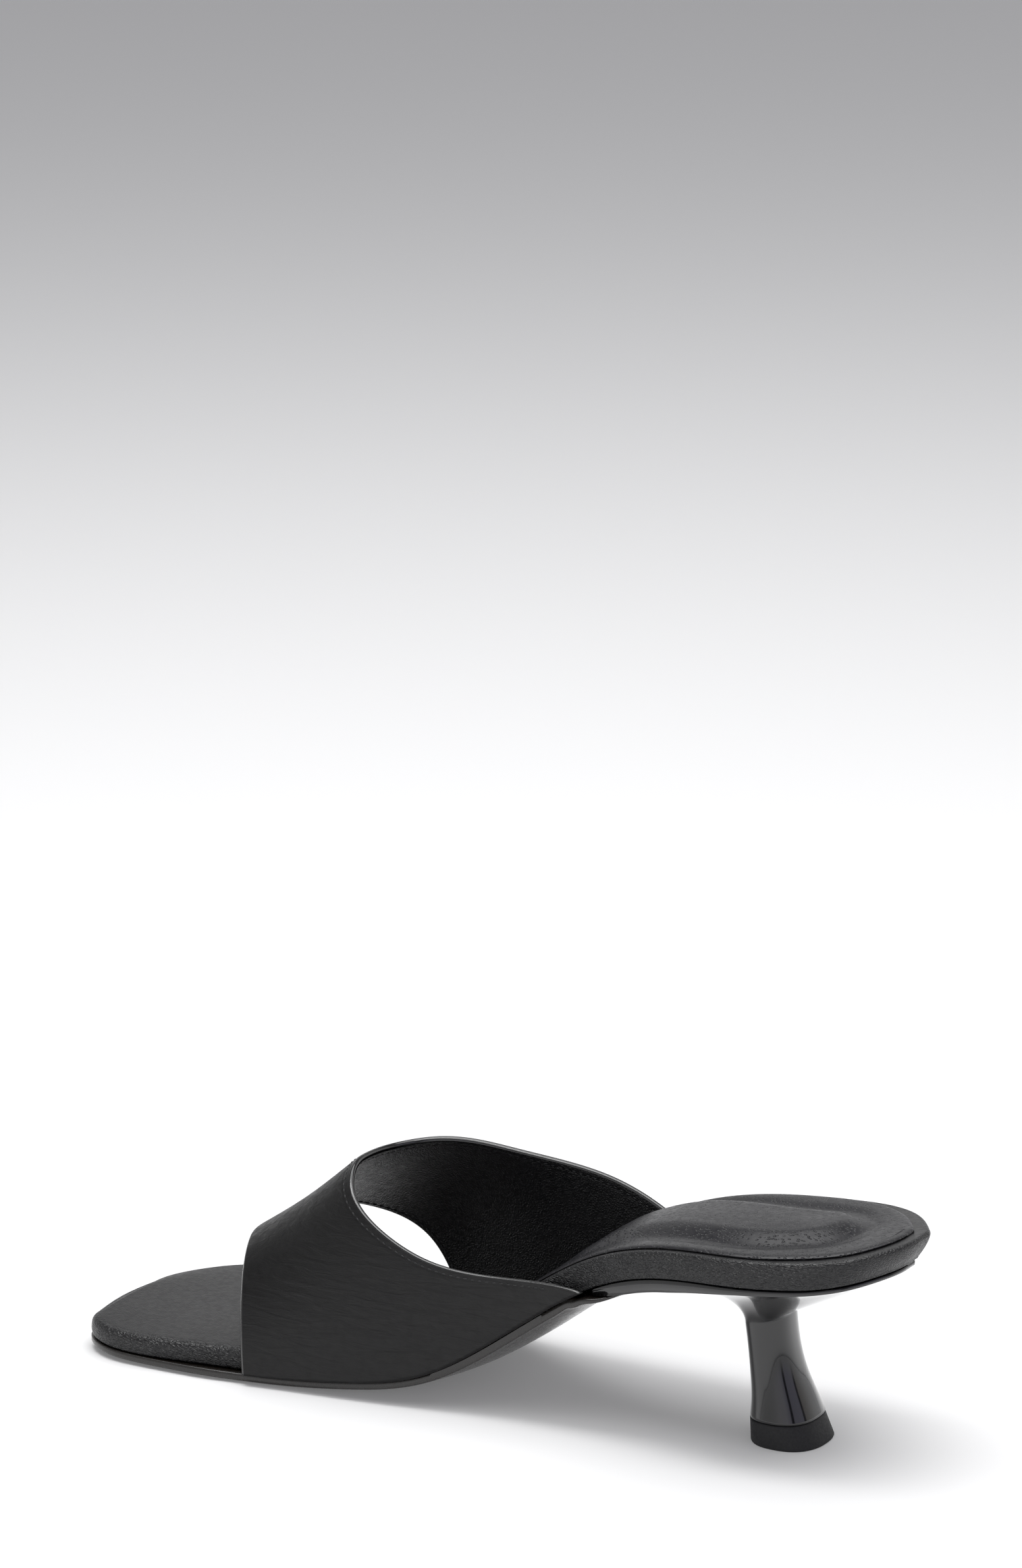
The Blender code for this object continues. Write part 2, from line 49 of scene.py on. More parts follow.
# Sizes of the part
FOOTBED_LENGTH = 0.2466
HEEL_SET_IN = 0.0389
SEAT_WIDTH = 0.0621
WAIST_WIDTH = 0.0501
FOREFOOT_WIDTH = 0.0728
SEAT_HEIGHT = 0.0524
TREAD_DEPTH = 0.0033
TOE_SPRING = 0.0009
BAND_AT_HEEL = 0.0076
BAND_AT_TOE = 0.0052
TOE_BOW = 0.0014
BACK_UNDERCUT = 0.0034
UNDERCUT_REACH = 0.0250
SOCK_THICKNESS = 0.0009
SOCK_BORDER = 0.0026
SOCK_BACK_BORDER = 0.0044
SOCK_REACH = 0.165
UPPER_WALL = 0.0018
INSTEP_HEIGHT = 0.0717
INSTEP_LEAN = 0.0107
ARCH_FULLNESS = 2.22
FRONT_REACH = 0.2021
THROAT_REACH = 0.1679
OUTSOLE_EDGE = 0.0024
OUTSOLE_WAIST_CROWN = 0.0032
OUTSOLE_MARGIN = 0.0002
OUTSOLE_TAIL = 0.079
OUTSOLE_SKIVE = 0.0007
OUTSOLE_SKIVE_LENGTH = 0.0200
OUTSOLE_TAIL_ROUND = 0.0123
NOSE_RAMP = 0.0040
SPREAD_RUN_OUT = 0.0300
SPREAD_START = 0.0040
PLATE_REACH = 0.0915
PLATE_EDGE = 0.0036
PLATE_INSET = 0.0006
PLATE_NOSE_ROUND = 0.0039
NECK_LENGTH = 0.0128
NECK_WIDTH = 0.0160
NECK_HEIGHT = 0.0325
NECK_FORWARD = 0.0069
STEM_FULLNESS = 2.4
LIFT_LENGTH = 0.0210
LIFT_WIDTH = 0.0240
LIFT_HEIGHT = 0.0068
LIFT_TAPER = 0.0012
GAP = 0.0003
SIDE_GAP = 0.0004

Outline = namedtuple("Outline", "along medial lateral across")
OUTLINE = (
    Outline(0.000, 0.056, 0.023, SEAT_WIDTH),
    Outline(0.012, 0.242, 0.130, SEAT_WIDTH),
    Outline(0.040, 0.398, 0.291, SEAT_WIDTH),
    Outline(0.100, 0.499, 0.448, SEAT_WIDTH),
    Outline(0.170, 0.538, 0.462, SEAT_WIDTH),
    Outline(0.260, 0.478, 0.443, SEAT_WIDTH),
    Outline(0.360, 0.493, 0.513, WAIST_WIDTH),
    Outline(0.460, 0.473, 0.527, WAIST_WIDTH),
    Outline(0.560, 0.545, 0.597, WAIST_WIDTH),
    Outline(0.650, 0.422, 0.475, FOREFOOT_WIDTH),
    Outline(0.730, 0.456, 0.501, FOREFOOT_WIDTH),
    Outline(0.810, 0.499, 0.527, FOREFOOT_WIDTH),
    Outline(0.880, 0.533, 0.494, FOREFOOT_WIDTH),
    Outline(0.940, 0.537, 0.405, FOREFOOT_WIDTH),
    Outline(0.980, 0.484, 0.245, FOREFOOT_WIDTH),
    Outline(1.000, 0.367, 0.037, FOREFOOT_WIDTH),
)
Profile = namedtuple("Profile", "along rise spring")
PROFILE = (
    Profile(0.00, 1.090, 0.00),
    Profile(0.08, 1.031, 0.00),
    Profile(0.17, 1.000, 0.00),
    Profile(0.26, 0.947, 0.00),
    Profile(0.36, 0.774, 0.00),
    Profile(0.46, 0.438, 0.00),
    Profile(0.56, 0.130, 0.00),
    Profile(0.65, 0.033, 0.00),
    Profile(0.73, 0.000, 0.00),
    Profile(0.82, 0.000, 0.00),
    Profile(0.91, 0.000, 0.15),
    Profile(1.00, 0.000, 1.00),
)
Band = namedtuple("Band", "along heel_share")
BAND = (Band(0.0, 1.00), Band(0.5, 0.92), Band(0.8, 0.25), Band(1.0, 0.00))
Arch = namedtuple("Arch", "along height lean")
ARCH = (
    Arch(0.320, 0.766, 0.15),
    Arch(0.442, 0.951, 0.49),
    Arch(0.543, 1.000, 0.82),
    Arch(0.644, 0.884, 0.85),
    Arch(0.746, 0.623, 0.55),
    Arch(0.867, 0.333, 0.25),
)
Edges = namedtuple("Edges", "around front topline")
EDGES = (
    Edges(0.000, 0.944, 0.532),
    Edges(0.125, 0.951, 0.798),
    Edges(0.250, 0.964, 0.940),
    Edges(0.375, 0.985, 0.986),
    Edges(0.500, 1.000, 1.000),
    Edges(0.625, 0.966, 0.972),
    Edges(0.750, 0.928, 0.845),
    Edges(0.875, 0.860, 0.663),
    Edges(1.000, 0.808, 0.514),
)
Crown = namedtuple("Crown", "along share")
OUTSOLE_CROWN = (
    Crown(0.30, 0.25),
    Crown(0.38, 0.85),
    Crown(0.44, 1.00),
    Crown(0.52, 0.90),
    Crown(0.60, 0.35),
    Crown(0.67, 0.00),
    Crown(1.00, 0.00),
)
OUTSOLE_TREAD = (
    Crown(0.00, 0.00),
    Crown(0.60, 0.00),
    Crown(0.65, 1.00),
    Crown(0.83, 1.00),
    Crown(0.90, 0.00),
    Crown(1.00, 0.00),
)
PLATE_DEPTH = (
    Crown(0.000, 0.30),
    Crown(0.080, 0.34),
    Crown(0.160, 0.50),
    Crown(0.250, 0.95),
    Crown(0.320, 1.00),
    Crown(0.345, 0.75),
    Crown(0.366, 0.20),
)
Sweep = namedtuple("Sweep", "turn fullness drop")
SWEEP = (
    Sweep(-180, 1.00, 0.78),
    Sweep(-135, 1.05, 0.82),
    Sweep(-90, 1.35, 0.92),
    Sweep(-40, 1.80, 1.00),
    Sweep(0, 2.00, 1.00),
    Sweep(40, 1.80, 1.00),
    Sweep(90, 1.35, 0.92),
    Sweep(135, 1.05, 0.82),
    Sweep(180, 1.00, 0.78),
)
Stem = namedtuple("Stem", "height slimming lean")
STEM = (
    Stem(0.00, 0.00, 0.22),
    Stem(0.18, 0.36, 0.36),
    Stem(0.38, 0.69, 0.56),
    Stem(0.58, 0.90, 0.74),
    Stem(0.78, 1.00, 0.88),
    Stem(1.00, 1.00, 1.00),
)

# Finer steps than the part's
STATIONS = 240
COLUMNS = 46
UPPER_ROUND_STEPS = 300
UPPER_LENGTH_STEPS = 110
SWEEP_STEPS = 34
STEM_STEPS = 40


def spline(xs, ys):
    """A natural cubic spline through the given points, as a function of x."""
    xs = np.array(xs, float)
    ys = np.array(ys, float)
    step = np.diff(xs)
    rise = np.diff(ys) / step
    matrix = np.eye(len(xs))
    right = np.zeros(len(xs))
    for i in range(1, len(xs) - 1):
        matrix[i, i - 1:i + 2] = step[i - 1], 2 * (step[i - 1] + step[i]), step[i]
        right[i] = 6 * (rise[i] - rise[i - 1])
    bend = np.linalg.solve(matrix, right)

    def at(x):
        x = np.asarray(x, float)
        k = np.clip(np.searchsorted(xs, x) - 1, 0, len(xs) - 2)
        a = (xs[k + 1] - x) / step[k]
        b = (x - xs[k]) / step[k]
        curve = (a**3 - a) * bend[k] + (b**3 - b) * bend[k + 1]
        return a * ys[k] + b * ys[k + 1] + curve * step[k]**2 / 6

    return at


def column(rows, name):
    return [getattr(row, name) for row in rows]


def softened(xs, ys, reach=0.05):
    """A table read in straight steps, with its corners rounded off."""
    fine = np.linspace(min(xs) - 0.2, max(xs) + 0.2, 1200)
    values = np.interp(fine, xs, ys)
    count = max(3, int(reach * (max(xs) - min(xs)) / (fine[1] - fine[0])) | 1)
    kernel = np.hanning(count + 2)[1:-1]
    kernel /= kernel.sum()
    padded = np.pad(values, count // 2, mode="edge")
    smooth = np.convolve(padded, kernel, mode="valid")
    return lambda x: np.interp(x, fine, smooth)


def turn_of(along):
    return np.arccos(np.clip(1 - 2 * np.asarray(along, float), -1, 1))


medial_at = spline(turn_of(column(OUTLINE, "along")), [row.medial * row.across for row in OUTLINE])
lateral_at = spline(turn_of(column(OUTLINE, "along")), [row.lateral * row.across for row in OUTLINE])
rise_at = spline(column(PROFILE, "along"), column(PROFILE, "rise"))
spring_at = spline(column(PROFILE, "along"), column(PROFILE, "spring"))
arch_height_at = spline(column(ARCH, "along"), column(ARCH, "height"))
arch_lean_at = softened(column(ARCH, "along"), column(ARCH, "lean"), 0.3)
band_at = softened(column(BAND, "along"), column(BAND, "heel_share"), 0.2)
waist_crown_at = softened(column(OUTSOLE_CROWN, "along"), column(OUTSOLE_CROWN, "share"), 0.12)
tread_at = softened(column(OUTSOLE_TREAD, "along"), column(OUTSOLE_TREAD, "share"), 0.05)
plate_share_at = softened(column(PLATE_DEPTH, "along"), column(PLATE_DEPTH, "share"), 0.08)
fullness_at = softened(column(SWEEP, "turn"), column(SWEEP, "fullness"), 0.2)
drop_at = softened(column(SWEEP, "turn"), column(SWEEP, "drop"), 0.2)
slimming_at = spline(column(STEM, "height"), column(STEM, "slimming"))
stem_lean_at = spline(column(STEM, "height"), column(STEM, "lean"))


def along_of(x):
    return (np.asarray(x, float) + HEEL_SET_IN) / FOOTBED_LENGTH


def x_of(along):
    return np.asarray(along, float) * FOOTBED_LENGTH - HEEL_SET_IN


def medial_edge(x):
    return medial_at(turn_of(along_of(x)))


def lateral_edge(x):
    return -lateral_at(turn_of(along_of(x)))


def underside(x):
    along = along_of(x)
    return TREAD_DEPTH + rise_at(along) * (SEAT_HEIGHT - TREAD_DEPTH) + spring_at(along) * TOE_SPRING


def steepness(x):
    step = 0.0005
    slope = (underside(x + step) - underside(x - step)) / (2 * step)
    return np.sqrt(1 + slope**2)


def top_side(x):
    band = BAND_AT_TOE + band_at(along_of(x)) * (BAND_AT_HEEL - BAND_AT_TOE)
    return underside(x) + band * steepness(x)


def smoothstep(low, high, value):
    t = np.clip((value - low) / (high - low), 0, 1)
    return t * t * (3 - 2 * t)


def rounded_share(along, first, last, rounding, fullness=2.5):
    past = np.zeros_like(along)
    if first > 0:
        past = np.maximum(past, (first + rounding - along) / rounding)
    if last < 1:
        past = np.maximum(past, (along - last + rounding) / rounding)
    return (1 - np.clip(past, 0, 0.985)**fullness)**(1 / fullness)


def ring(first=0.0, last=1.0, rounding=0.03):
    """The outline as a closed loop of points: medial side, front end, lateral side, back end."""
    turns = np.linspace(0, math.pi, STATIONS)
    along = first + (last - first) * (1 - np.cos(turns)) / 2
    x = x_of(along)
    middle = (medial_edge(x) + lateral_edge(x)) / 2
    half = (medial_edge(x) - lateral_edge(x)) / 2 * rounded_share(along, first, last, rounding)
    medial = np.stack([x, middle + half], 1)
    lateral = np.stack([x, middle - half], 1)
    across = np.linspace(0, 1, COLUMNS + 2)[1:-1, None]
    front = medial[-1] * (1 - across) + lateral[-1] * across
    front[:, 0] += (TOE_BOW if last == 1 else 0) * np.sin(math.pi * across[:, 0])
    back = lateral[0] * (1 - across) + medial[0] * across
    return np.concatenate([medial, front, lateral[::-1], back]), STATIONS


def loop_normals(points):
    tangent = np.roll(points, -1, 0) - np.roll(points, 1, 0)
    for _ in range(6):
        tangent = (np.roll(tangent, -1, 0) + 2 * tangent + np.roll(tangent, 1, 0)) / 4
    tangent /= np.maximum(np.linalg.norm(tangent, axis=1), 1e-12)[:, None]
    return np.stack([tangent[:, 1], -tangent[:, 0]], 1)


def inset(points, distance):
    return points + loop_normals(points) * (np.zeros(len(points)) + distance)[:, None]


def dome(share, fullness=2.4):
    return 1 - np.abs(2 * share - 1)**fullness


def undercut(loop):
    back = np.clip(1 - (loop[:, 0] + HEEL_SET_IN) / UNDERCUT_REACH, 0, 1)
    return BACK_UNDERCUT * back * back * (3 - 2 * back)


def new_piece(name, vertices, faces, material, node=None, sharp=None):
    """A mesh piece that rides on the shoe and stands for its CAD node."""
    mesh = bpy.data.meshes.new(name)
    mesh.from_pydata([tuple(map(float, v)) for v in vertices], [], [tuple(map(int, f)) for f in faces])
    mesh.update()
    mesh.shade_smooth()
    if sharp:
        mesh.set_sharp_from_angle(angle=math.radians(sharp))
    mesh.materials.append(material)
    item = bpy.data.objects.new(name, mesh)
    bpy.context.scene.collection.objects.link(item)
    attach(item, "root")
    if node:
        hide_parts(node)
    return item


def strip_faces(size, rings, closed=True, flip=False):
    """Quads between rings of the same size, stored one after another."""
    i = np.arange(size if closed else size - 1)
    faces = []
    for level in range(rings - 1):
        a = level * size + i
        b = level * size + (i + 1) % size
        quad = np.stack([a, b, b + size, a + size], 1)
        faces.append(quad[:, ::-1] if flip else quad)
    return np.concatenate(faces)


def cap(loop, count, offset, start, height_at):
    """Closes a ring of the outline with strips across it. height_at takes x, y and the share across."""
    rows = [np.arange(count) + offset]
    points = []
    for k, share in enumerate(np.linspace(0, 1, COLUMNS + 2)[1:-1]):
        medial = loop[1:count - 1]
        lateral = loop[2 * count + COLUMNS - 1 - np.arange(1, count - 1)]
        spot = medial[:, :2] * (1 - share) + lateral[:, :2] * share
        z = height_at(spot[:, 0], spot[:, 1], share)
        inner = start + len(points) * (count - 2) + np.arange(count - 2)
        points.append(np.column_stack([spot, z]))
        head = offset + 2 * count + 2 * COLUMNS - 1 - k
        rows.append(np.concatenate([[head], inner, [offset + count + k]]))
    rows.append(offset + 2 * count + COLUMNS - 1 - np.arange(count))
    faces = []
    for low, high in zip(rows[:-1], rows[1:]):
        faces.append(np.stack([low[:-1], low[1:], high[1:], high[:-1]], 1))
    return np.concatenate(points), np.concatenate(faces)


def layer(name, levels, loop, count, material, node, low_height, high_height, sharp=None):
    """A closed layer of the sole. Each level has its inset and its height, from the underside up."""
    vertices = []
    for distance, height_at in levels:
        flat = inset(loop, distance)
        vertices.append(np.column_stack([flat, height_at(flat[:, 0], flat[:, 1])]))
    size = len(loop)
    faces = [strip_faces(size, len(levels), flip=True)]
    total = size * len(levels)
    points, more = cap(vertices[0], count, 0, total, low_height)
    faces.append(more)
    vertices.append(points)
    total += len(points)
    points, more = cap(vertices[len(levels) - 1], count, (len(levels) - 1) * size, total, high_height)
    faces.append(more[:, ::-1])
    vertices.append(points)
    return new_piece(name, np.concatenate(vertices), np.concatenate(faces), material, node, sharp)


# Soft forms, given in millimetres

Fold = namedtuple("Fold", "height width points")


def distance_to_line(spots, line):
    """Distance from each spot to a line of points, and how far along the line it lies, from 0 to 1."""
    line = np.array(line, float)
    best = np.full(len(spots), 1e9)
    share = np.zeros(len(spots))
    lengths = np.linalg.norm(np.diff(line, axis=0), axis=1)
    total = lengths.sum()
    gone = 0.0
    for a, b, length in zip(line[:-1], line[1:], lengths):
        t = np.clip(((spots - a) @ (b - a)) / length**2, 0, 1)
        gap = np.linalg.norm(spots - (a + t[:, None] * (b - a)), axis=1)
        near = gap < best
        best = np.where(near, gap, best)
        share = np.where(near, (gone + t * length) / total, share)
        gone += length
    return best, share


def smooth_line(points, steps=40):
    """A smooth curve through given points."""
    points = np.array(points, float)
    t = np.linspace(0, 1, len(points))
    fine = np.linspace(0, 1, steps)
    return np.stack([spline(t, points[:, k])(fine) for k in range(points.shape[1])], 1)


def relief(spots, folds):
    """Sum of soft ridges and troughs, in metres, each fading out towards its two ends."""
    total = np.zeros(len(spots))
    for fold in folds:
        gap, share = distance_to_line(spots / MM, smooth_line(fold.points))
        fade = np.sin(math.pi * np.clip(share, 0.0, 1.0))**0.7
        total += fold.height * MM * fade * np.exp(-(gap / fold.width)**2)
    return total


def signed_distance(spots, outline):
    """Distance in millimetres to a closed outline, positive inside."""
    line = np.array(outline, float)
    closed = np.concatenate([line, line[:1]])
    gap, _ = distance_to_line(spots / MM, closed)
    inside = np.zeros(len(spots), bool)
    x, y = spots[:, 0] / MM, spots[:, 1] / MM
    for a, b in zip(closed[:-1], closed[1:]):
        crosses = (a[1] > y) != (b[1] > y)
        rise = np.where(b[1] == a[1], 1e-9, b[1] - a[1])
        inside ^= crosses & (x < (b[0] - a[0]) * (y - a[1]) / rise + a[0])
    return np.where(inside, gap, -gap)


def closed_curve(points, steps=160):
    """A smooth closed curve through given points."""
    points = np.array(points, float)
    wrapped = np.concatenate([points[-3:], points, points[:4]])
    t = np.arange(len(wrapped)) - 3.0
    fine = np.linspace(0, len(points), steps, endpoint=False)
    return np.stack([spline(t, wrapped[:, k])(fine) for k in range(2)], 1)


# Cushion under the sock lining, its rim and the soft waves over it
CUSHION = closed_curve((
    (66, 9), (55, 8), (46, 9), (37, 11), (22, 15.5), (8, 18.5), (-4, 17.0), (-14, 10.5),
    (-18, 1), (-16.5, -7), (-9, -12.5), (4, -12), (17, -13.5), (28, -15.5), (40, -17), (54, -18), (66, -17),
))
SEAT_FOLDS = (
    Fold(0.30, 5.0, ((58, -14), (44, -13), (28, -11), (14, -9), (2, -7))),
    Fold(-0.45, 3.6, ((50, 12), (37, 15), (22, 19), (8, 22), (-6, 20))),
    Fold(-0.40, 3.4, ((-10, 17), (-19, 10), (-23, 0), (-22, -9))),
    Fold(-0.35, 3.0, ((30, -20), (15, -18), (2, -17), (-9, -16))),
    Fold(0.22, 4.0, ((-8, -4), (-11, 4), (-6, 10))),
    Fold(-0.25, 4.0, ((-1, -9), (-4, -3), (-3, 3))),
)


def sock_relief(x, y):
    """Height of the sock lining over the footbed."""
    spots = np.column_stack([x, y])
    d = signed_distance(spots, CUSHION)
    swell = 1.7 * smoothstep(-1.5, 5.5, d) + 0.3 * smoothstep(4, 13, d)
    moat = -0.7 * np.exp(-((d + 3.0) / 2.6)**2)
    fade = smoothstep(0.075, 0.050, x)
    return ((swell + moat) * MM) * fade + relief(spots, SEAT_FOLDS) * fade


# Materials

class Shader:
    """Short names for the shader nodes that the leathers share."""

    def __init__(self, name, colour, roughness, coat=0.0, coat_roughness=0.1, specular=0.5):
        self.material = bpy.data.materials.new(name)
        self.material.use_nodes = True
        self.tree = self.material.node_tree
        self.base = self.tree.nodes["Principled BSDF"]
        self.base.inputs["Base Color"].default_value = (*colour, 1)
        self.base.inputs["Roughness"].default_value = roughness
        self.base.inputs["Coat Weight"].default_value = coat
        self.base.inputs["Coat Roughness"].default_value = coat_roughness
        self.base.inputs["Specular IOR Level"].default_value = specular
        self.place = self.node("ShaderNodeTexCoord").outputs["Object"]
        self.normal = None

    def node(self, kind, **settings):
        made = self.tree.nodes.new(kind)
        for key, value in settings.items():
            setattr(made, key, value)
        return made

    def put(self, socket, value):
        if hasattr(value, "is_output"):
            self.tree.links.new(value, socket)
        else:
            socket.default_value = value

    def stretched(self, scale, turn=(0, 0, 0)):
        """Object coordinates in millimetres, stretched."""
        made = self.node("ShaderNodeMapping")
        made.inputs["Scale"].default_value = tuple(1000 * s for s in scale)
        made.inputs["Rotation"].default_value = tuple(math.radians(t) for t in turn)
        self.tree.links.new(self.place, made.inputs["Vector"])
        return made.outputs["Vector"]

    def noise(self, vector, scale, detail=3.0, roughness=0.55, distortion=0.0):
        made = self.node("ShaderNodeTexNoise")
        self.put(made.inputs["Vector"], vector)
        made.inputs["Scale"].default_value = scale
        made.inputs["Detail"].default_value = detail
        made.inputs["Roughness"].default_value = roughness
        made.inputs["Distortion"].default_value = distortion
        return made.outputs["Fac"]

    def cells(self, vector, scale, feature="DISTANCE_TO_EDGE", randomness=1.0):
        made = self.node("ShaderNodeTexVoronoi", feature=feature)
        self.put(made.inputs["Vector"], vector)
        made.inputs["Scale"].default_value = scale
        made.inputs["Randomness"].default_value = randomness
        return made.outputs["Distance"]

    def remap(self, value, low, high, to_low=0.0, to_high=1.0, smooth=True):
        made = self.node("ShaderNodeMapRange", interpolation_type="SMOOTHSTEP" if smooth else "LINEAR")
        self.put(made.inputs["Value"], value)
        made.inputs["From Min"].default_value = low
        made.inputs["From Max"].default_value = high
        made.inputs["To Min"].default_value = to_low
        made.inputs["To Max"].default_value = to_high
        return made.outputs["Result"]

    def math(self, operation, a, b):
        made = self.node("ShaderNodeMath", operation=operation)
        self.put(made.inputs[0], a)
        self.put(made.inputs[1], b)
        return made.outputs[0]

    def mix(self, factor, a, b):
        made = self.node("ShaderNodeMix", data_type="RGBA")
        self.put(made.inputs[0], factor)
        made.inputs[6].default_value = (*a, 1)
        made.inputs[7].default_value = (*b, 1)
        return made.outputs[2]

    def bump(self, height, strength, depth):
        """Adds a layer of relief, its depth in millimetres."""
        made = self.node("ShaderNodeBump")
        made.inputs["Strength"].default_value = strength
        made.inputs["Distance"].default_value = depth * MM
        self.put(made.inputs["Height"], height)
        if self.normal:
            self.tree.links.new(self.normal, made.inputs["Normal"])
        self.normal = made.outputs["Normal"]

    def done(self, colour=None, roughness=None, coat_follows=True):
        if colour:
            self.put(self.base.inputs["Base Color"], colour)
        if roughness:
            self.put(self.base.inputs["Roughness"], roughness)
        if self.normal:
            self.tree.links.new(self.normal, self.base.inputs["Normal"])
            if coat_follows:
                self.tree.links.new(self.normal, self.base.inputs["Coat Normal"])
        return self.material

    def attribute(self, name):
        return self.node("ShaderNodeAttribute", attribute_name=name).outputs["Fac"]


def upper_leather():
    s = Shader("upper_leather", (0.005, 0.005, 0.0055), 0.38)
    grain = s.attribute("grain")
    even = s.stretched((1, 1, 1))
    warp = s.stretched((1.0, 1.0, 1.25), (0, 24, 0))
    fine = s.remap(s.cells(even, 1.3), 0.0, 0.40)
    s.bump(fine, 0.9, 0.10)
    cracks = s.remap(s.cells(warp, 0.75), 0.0, 0.22)
    broken = s.remap(s.noise(even, 0.45, 3.0), 0.36, 0.60)
    broken_cracks = s.math("MULTIPLY", s.math("SUBTRACT", cracks, 1.0), broken)
    s.bump(s.math("MULTIPLY", broken_cracks, grain), 1.0, 0.16)
    s.bump(s.noise(even, 0.30, 3.0), 0.4, 0.25)
    tone = s.mix(s.noise(even, 0.08, 3.0), (0.004, 0.004, 0.0042), (0.008, 0.0078, 0.0085))
    rough = s.remap(s.noise(even, 0.5, 4.0), 0.3, 0.7, 0.32, 0.44)
    return s.done(tone, rough)


def lining_leather():
    s = Shader("lining_leather", (0.002, 0.0018, 0.002), 0.42, specular=0.35)
    even = s.stretched((1, 1, 1))
    s.bump(s.noise(s.stretched((0.25, 1, 1.2)), 0.35, 4.0, distortion=0.6), 0.8, 0.40)
    s.bump(s.remap(s.cells(even, 2.2), 0.0, 0.2), 0.08, 0.04)
    rough = s.remap(s.noise(even, 0.4, 4.0), 0.3, 0.7, 0.36, 0.50)
    return s.done(roughness=rough)


def edge_paint():
    s = Shader("edge_paint", (0.003, 0.003, 0.003), 0.22, coat=0.8, coat_roughness=0.12)
    even = s.stretched((1, 1, 1))
    s.bump(s.noise(even, 1.2, 3.0), 0.35, 0.10)
    return s.done()


def band_leather():
    s = Shader("footbed_leather", (0.005, 0.005, 0.0055), 0.34)
    even = s.stretched((1, 1, 1))
    long = s.stretched((0.60, 0.85, 1.5), (0, 12, 0))
    side = s.attribute("side")
    creases = s.remap(s.cells(long, 1.15), 0.0, 0.26)
    broken = s.remap(s.noise(s.stretched((0.5, 0.7, 1.3)), 0.8, 3.0), 0.30, 0.50)
    broken_creases = s.math("MULTIPLY", s.math("SUBTRACT", creases, 1.0), broken)
    s.bump(s.math("MULTIPLY", broken_creases, side), 0.9, 0.20)
    s.bump(s.noise(even, 0.6, 2.0), 0.3, 0.15)
    s.bump(s.remap(s.cells(even, 1.4), 0.0, 0.3), 0.35, 0.06)
    tone = s.mix(s.noise(even, 0.1, 3.0), (0.004, 0.004, 0.0045), (0.008, 0.0078, 0.0088))
    rough = s.remap(s.noise(even, 0.6, 4.0), 0.3, 0.7, 0.30, 0.40)
    return s.done(tone, rough)


def sock_leather():
    s = Shader("sock_leather", (0.006, 0.0058, 0.0075), 0.34)
    even = s.stretched((1, 1, 1))
    flow = s.stretched((0.75, 1.25, 1.0), (0, 0, 28))
    pits = s.remap(s.cells(flow, 1.0, "F1"), 0.10, 0.42)
    s.bump(pits, 1.0, 0.20)
    s.bump(s.noise(even, 0.5, 2.0), 0.3, 0.20)
    tone = s.mix(s.noise(even, 0.1, 3.0), (0.005, 0.0048, 0.0065), (0.009, 0.0086, 0.0115))
    rough = s.remap(s.noise(even, 0.6, 4.0), 0.3, 0.7, 0.29, 0.40)
    return s.done(tone, rough)


def heel_gloss():
    s = Shader("heel_gloss", (0.0025, 0.0025, 0.003), 0.22, specular=0.3, coat=1.0, coat_roughness=0.03)
    even = s.stretched((1, 1, 1))
    s.bump(s.noise(even, 0.05, 1.0), 0.25, 0.5)
    rough = s.remap(s.noise(even, 1.0, 4.0), 0.35, 0.75, 0.18, 0.26)
    return s.done(roughness=rough)


def lift_rubber():
    s = Shader("lift_rubber", (0.010, 0.010, 0.011), 0.60, specular=0.4)
    even = s.stretched((1, 1, 1))
    s.bump(s.noise(even, 6.0, 3.0), 0.20, 0.05)
    tone = s.mix(s.noise(even, 0.3, 4.0), (0.008, 0.008, 0.009), (0.014, 0.014, 0.016))
    rough = s.remap(s.noise(even, 1.5, 4.0), 0.3, 0.7, 0.55, 0.68)
    return s.done(tone, rough)


def outsole_leather():
    s = Shader("outsole_leather", (0.007, 0.0055, 0.0045), 0.26, coat=0.35, coat_roughness=0.12)
    even = s.stretched((1, 1, 1))
    s.bump(s.noise(s.stretched((0.4, 1, 1)), 0.35, 2.0), 0.15, 0.10)
    rough = s.remap(s.noise(even, 0.7, 4.0), 0.3, 0.7, 0.22, 0.34)
    tone = s.mix(s.noise(even, 0.15, 3.0), (0.006, 0.0045, 0.0038), (0.010, 0.0078, 0.0062))
    return s.done(tone, rough)


def thread():
    s = Shader("thread", (0.008, 0.008, 0.009), 0.40)
    s.bump(s.noise(s.stretched((1, 1, 1)), 7.0, 2.0), 0.4, 0.05)
    return s.done()


# Pieces of the shoe

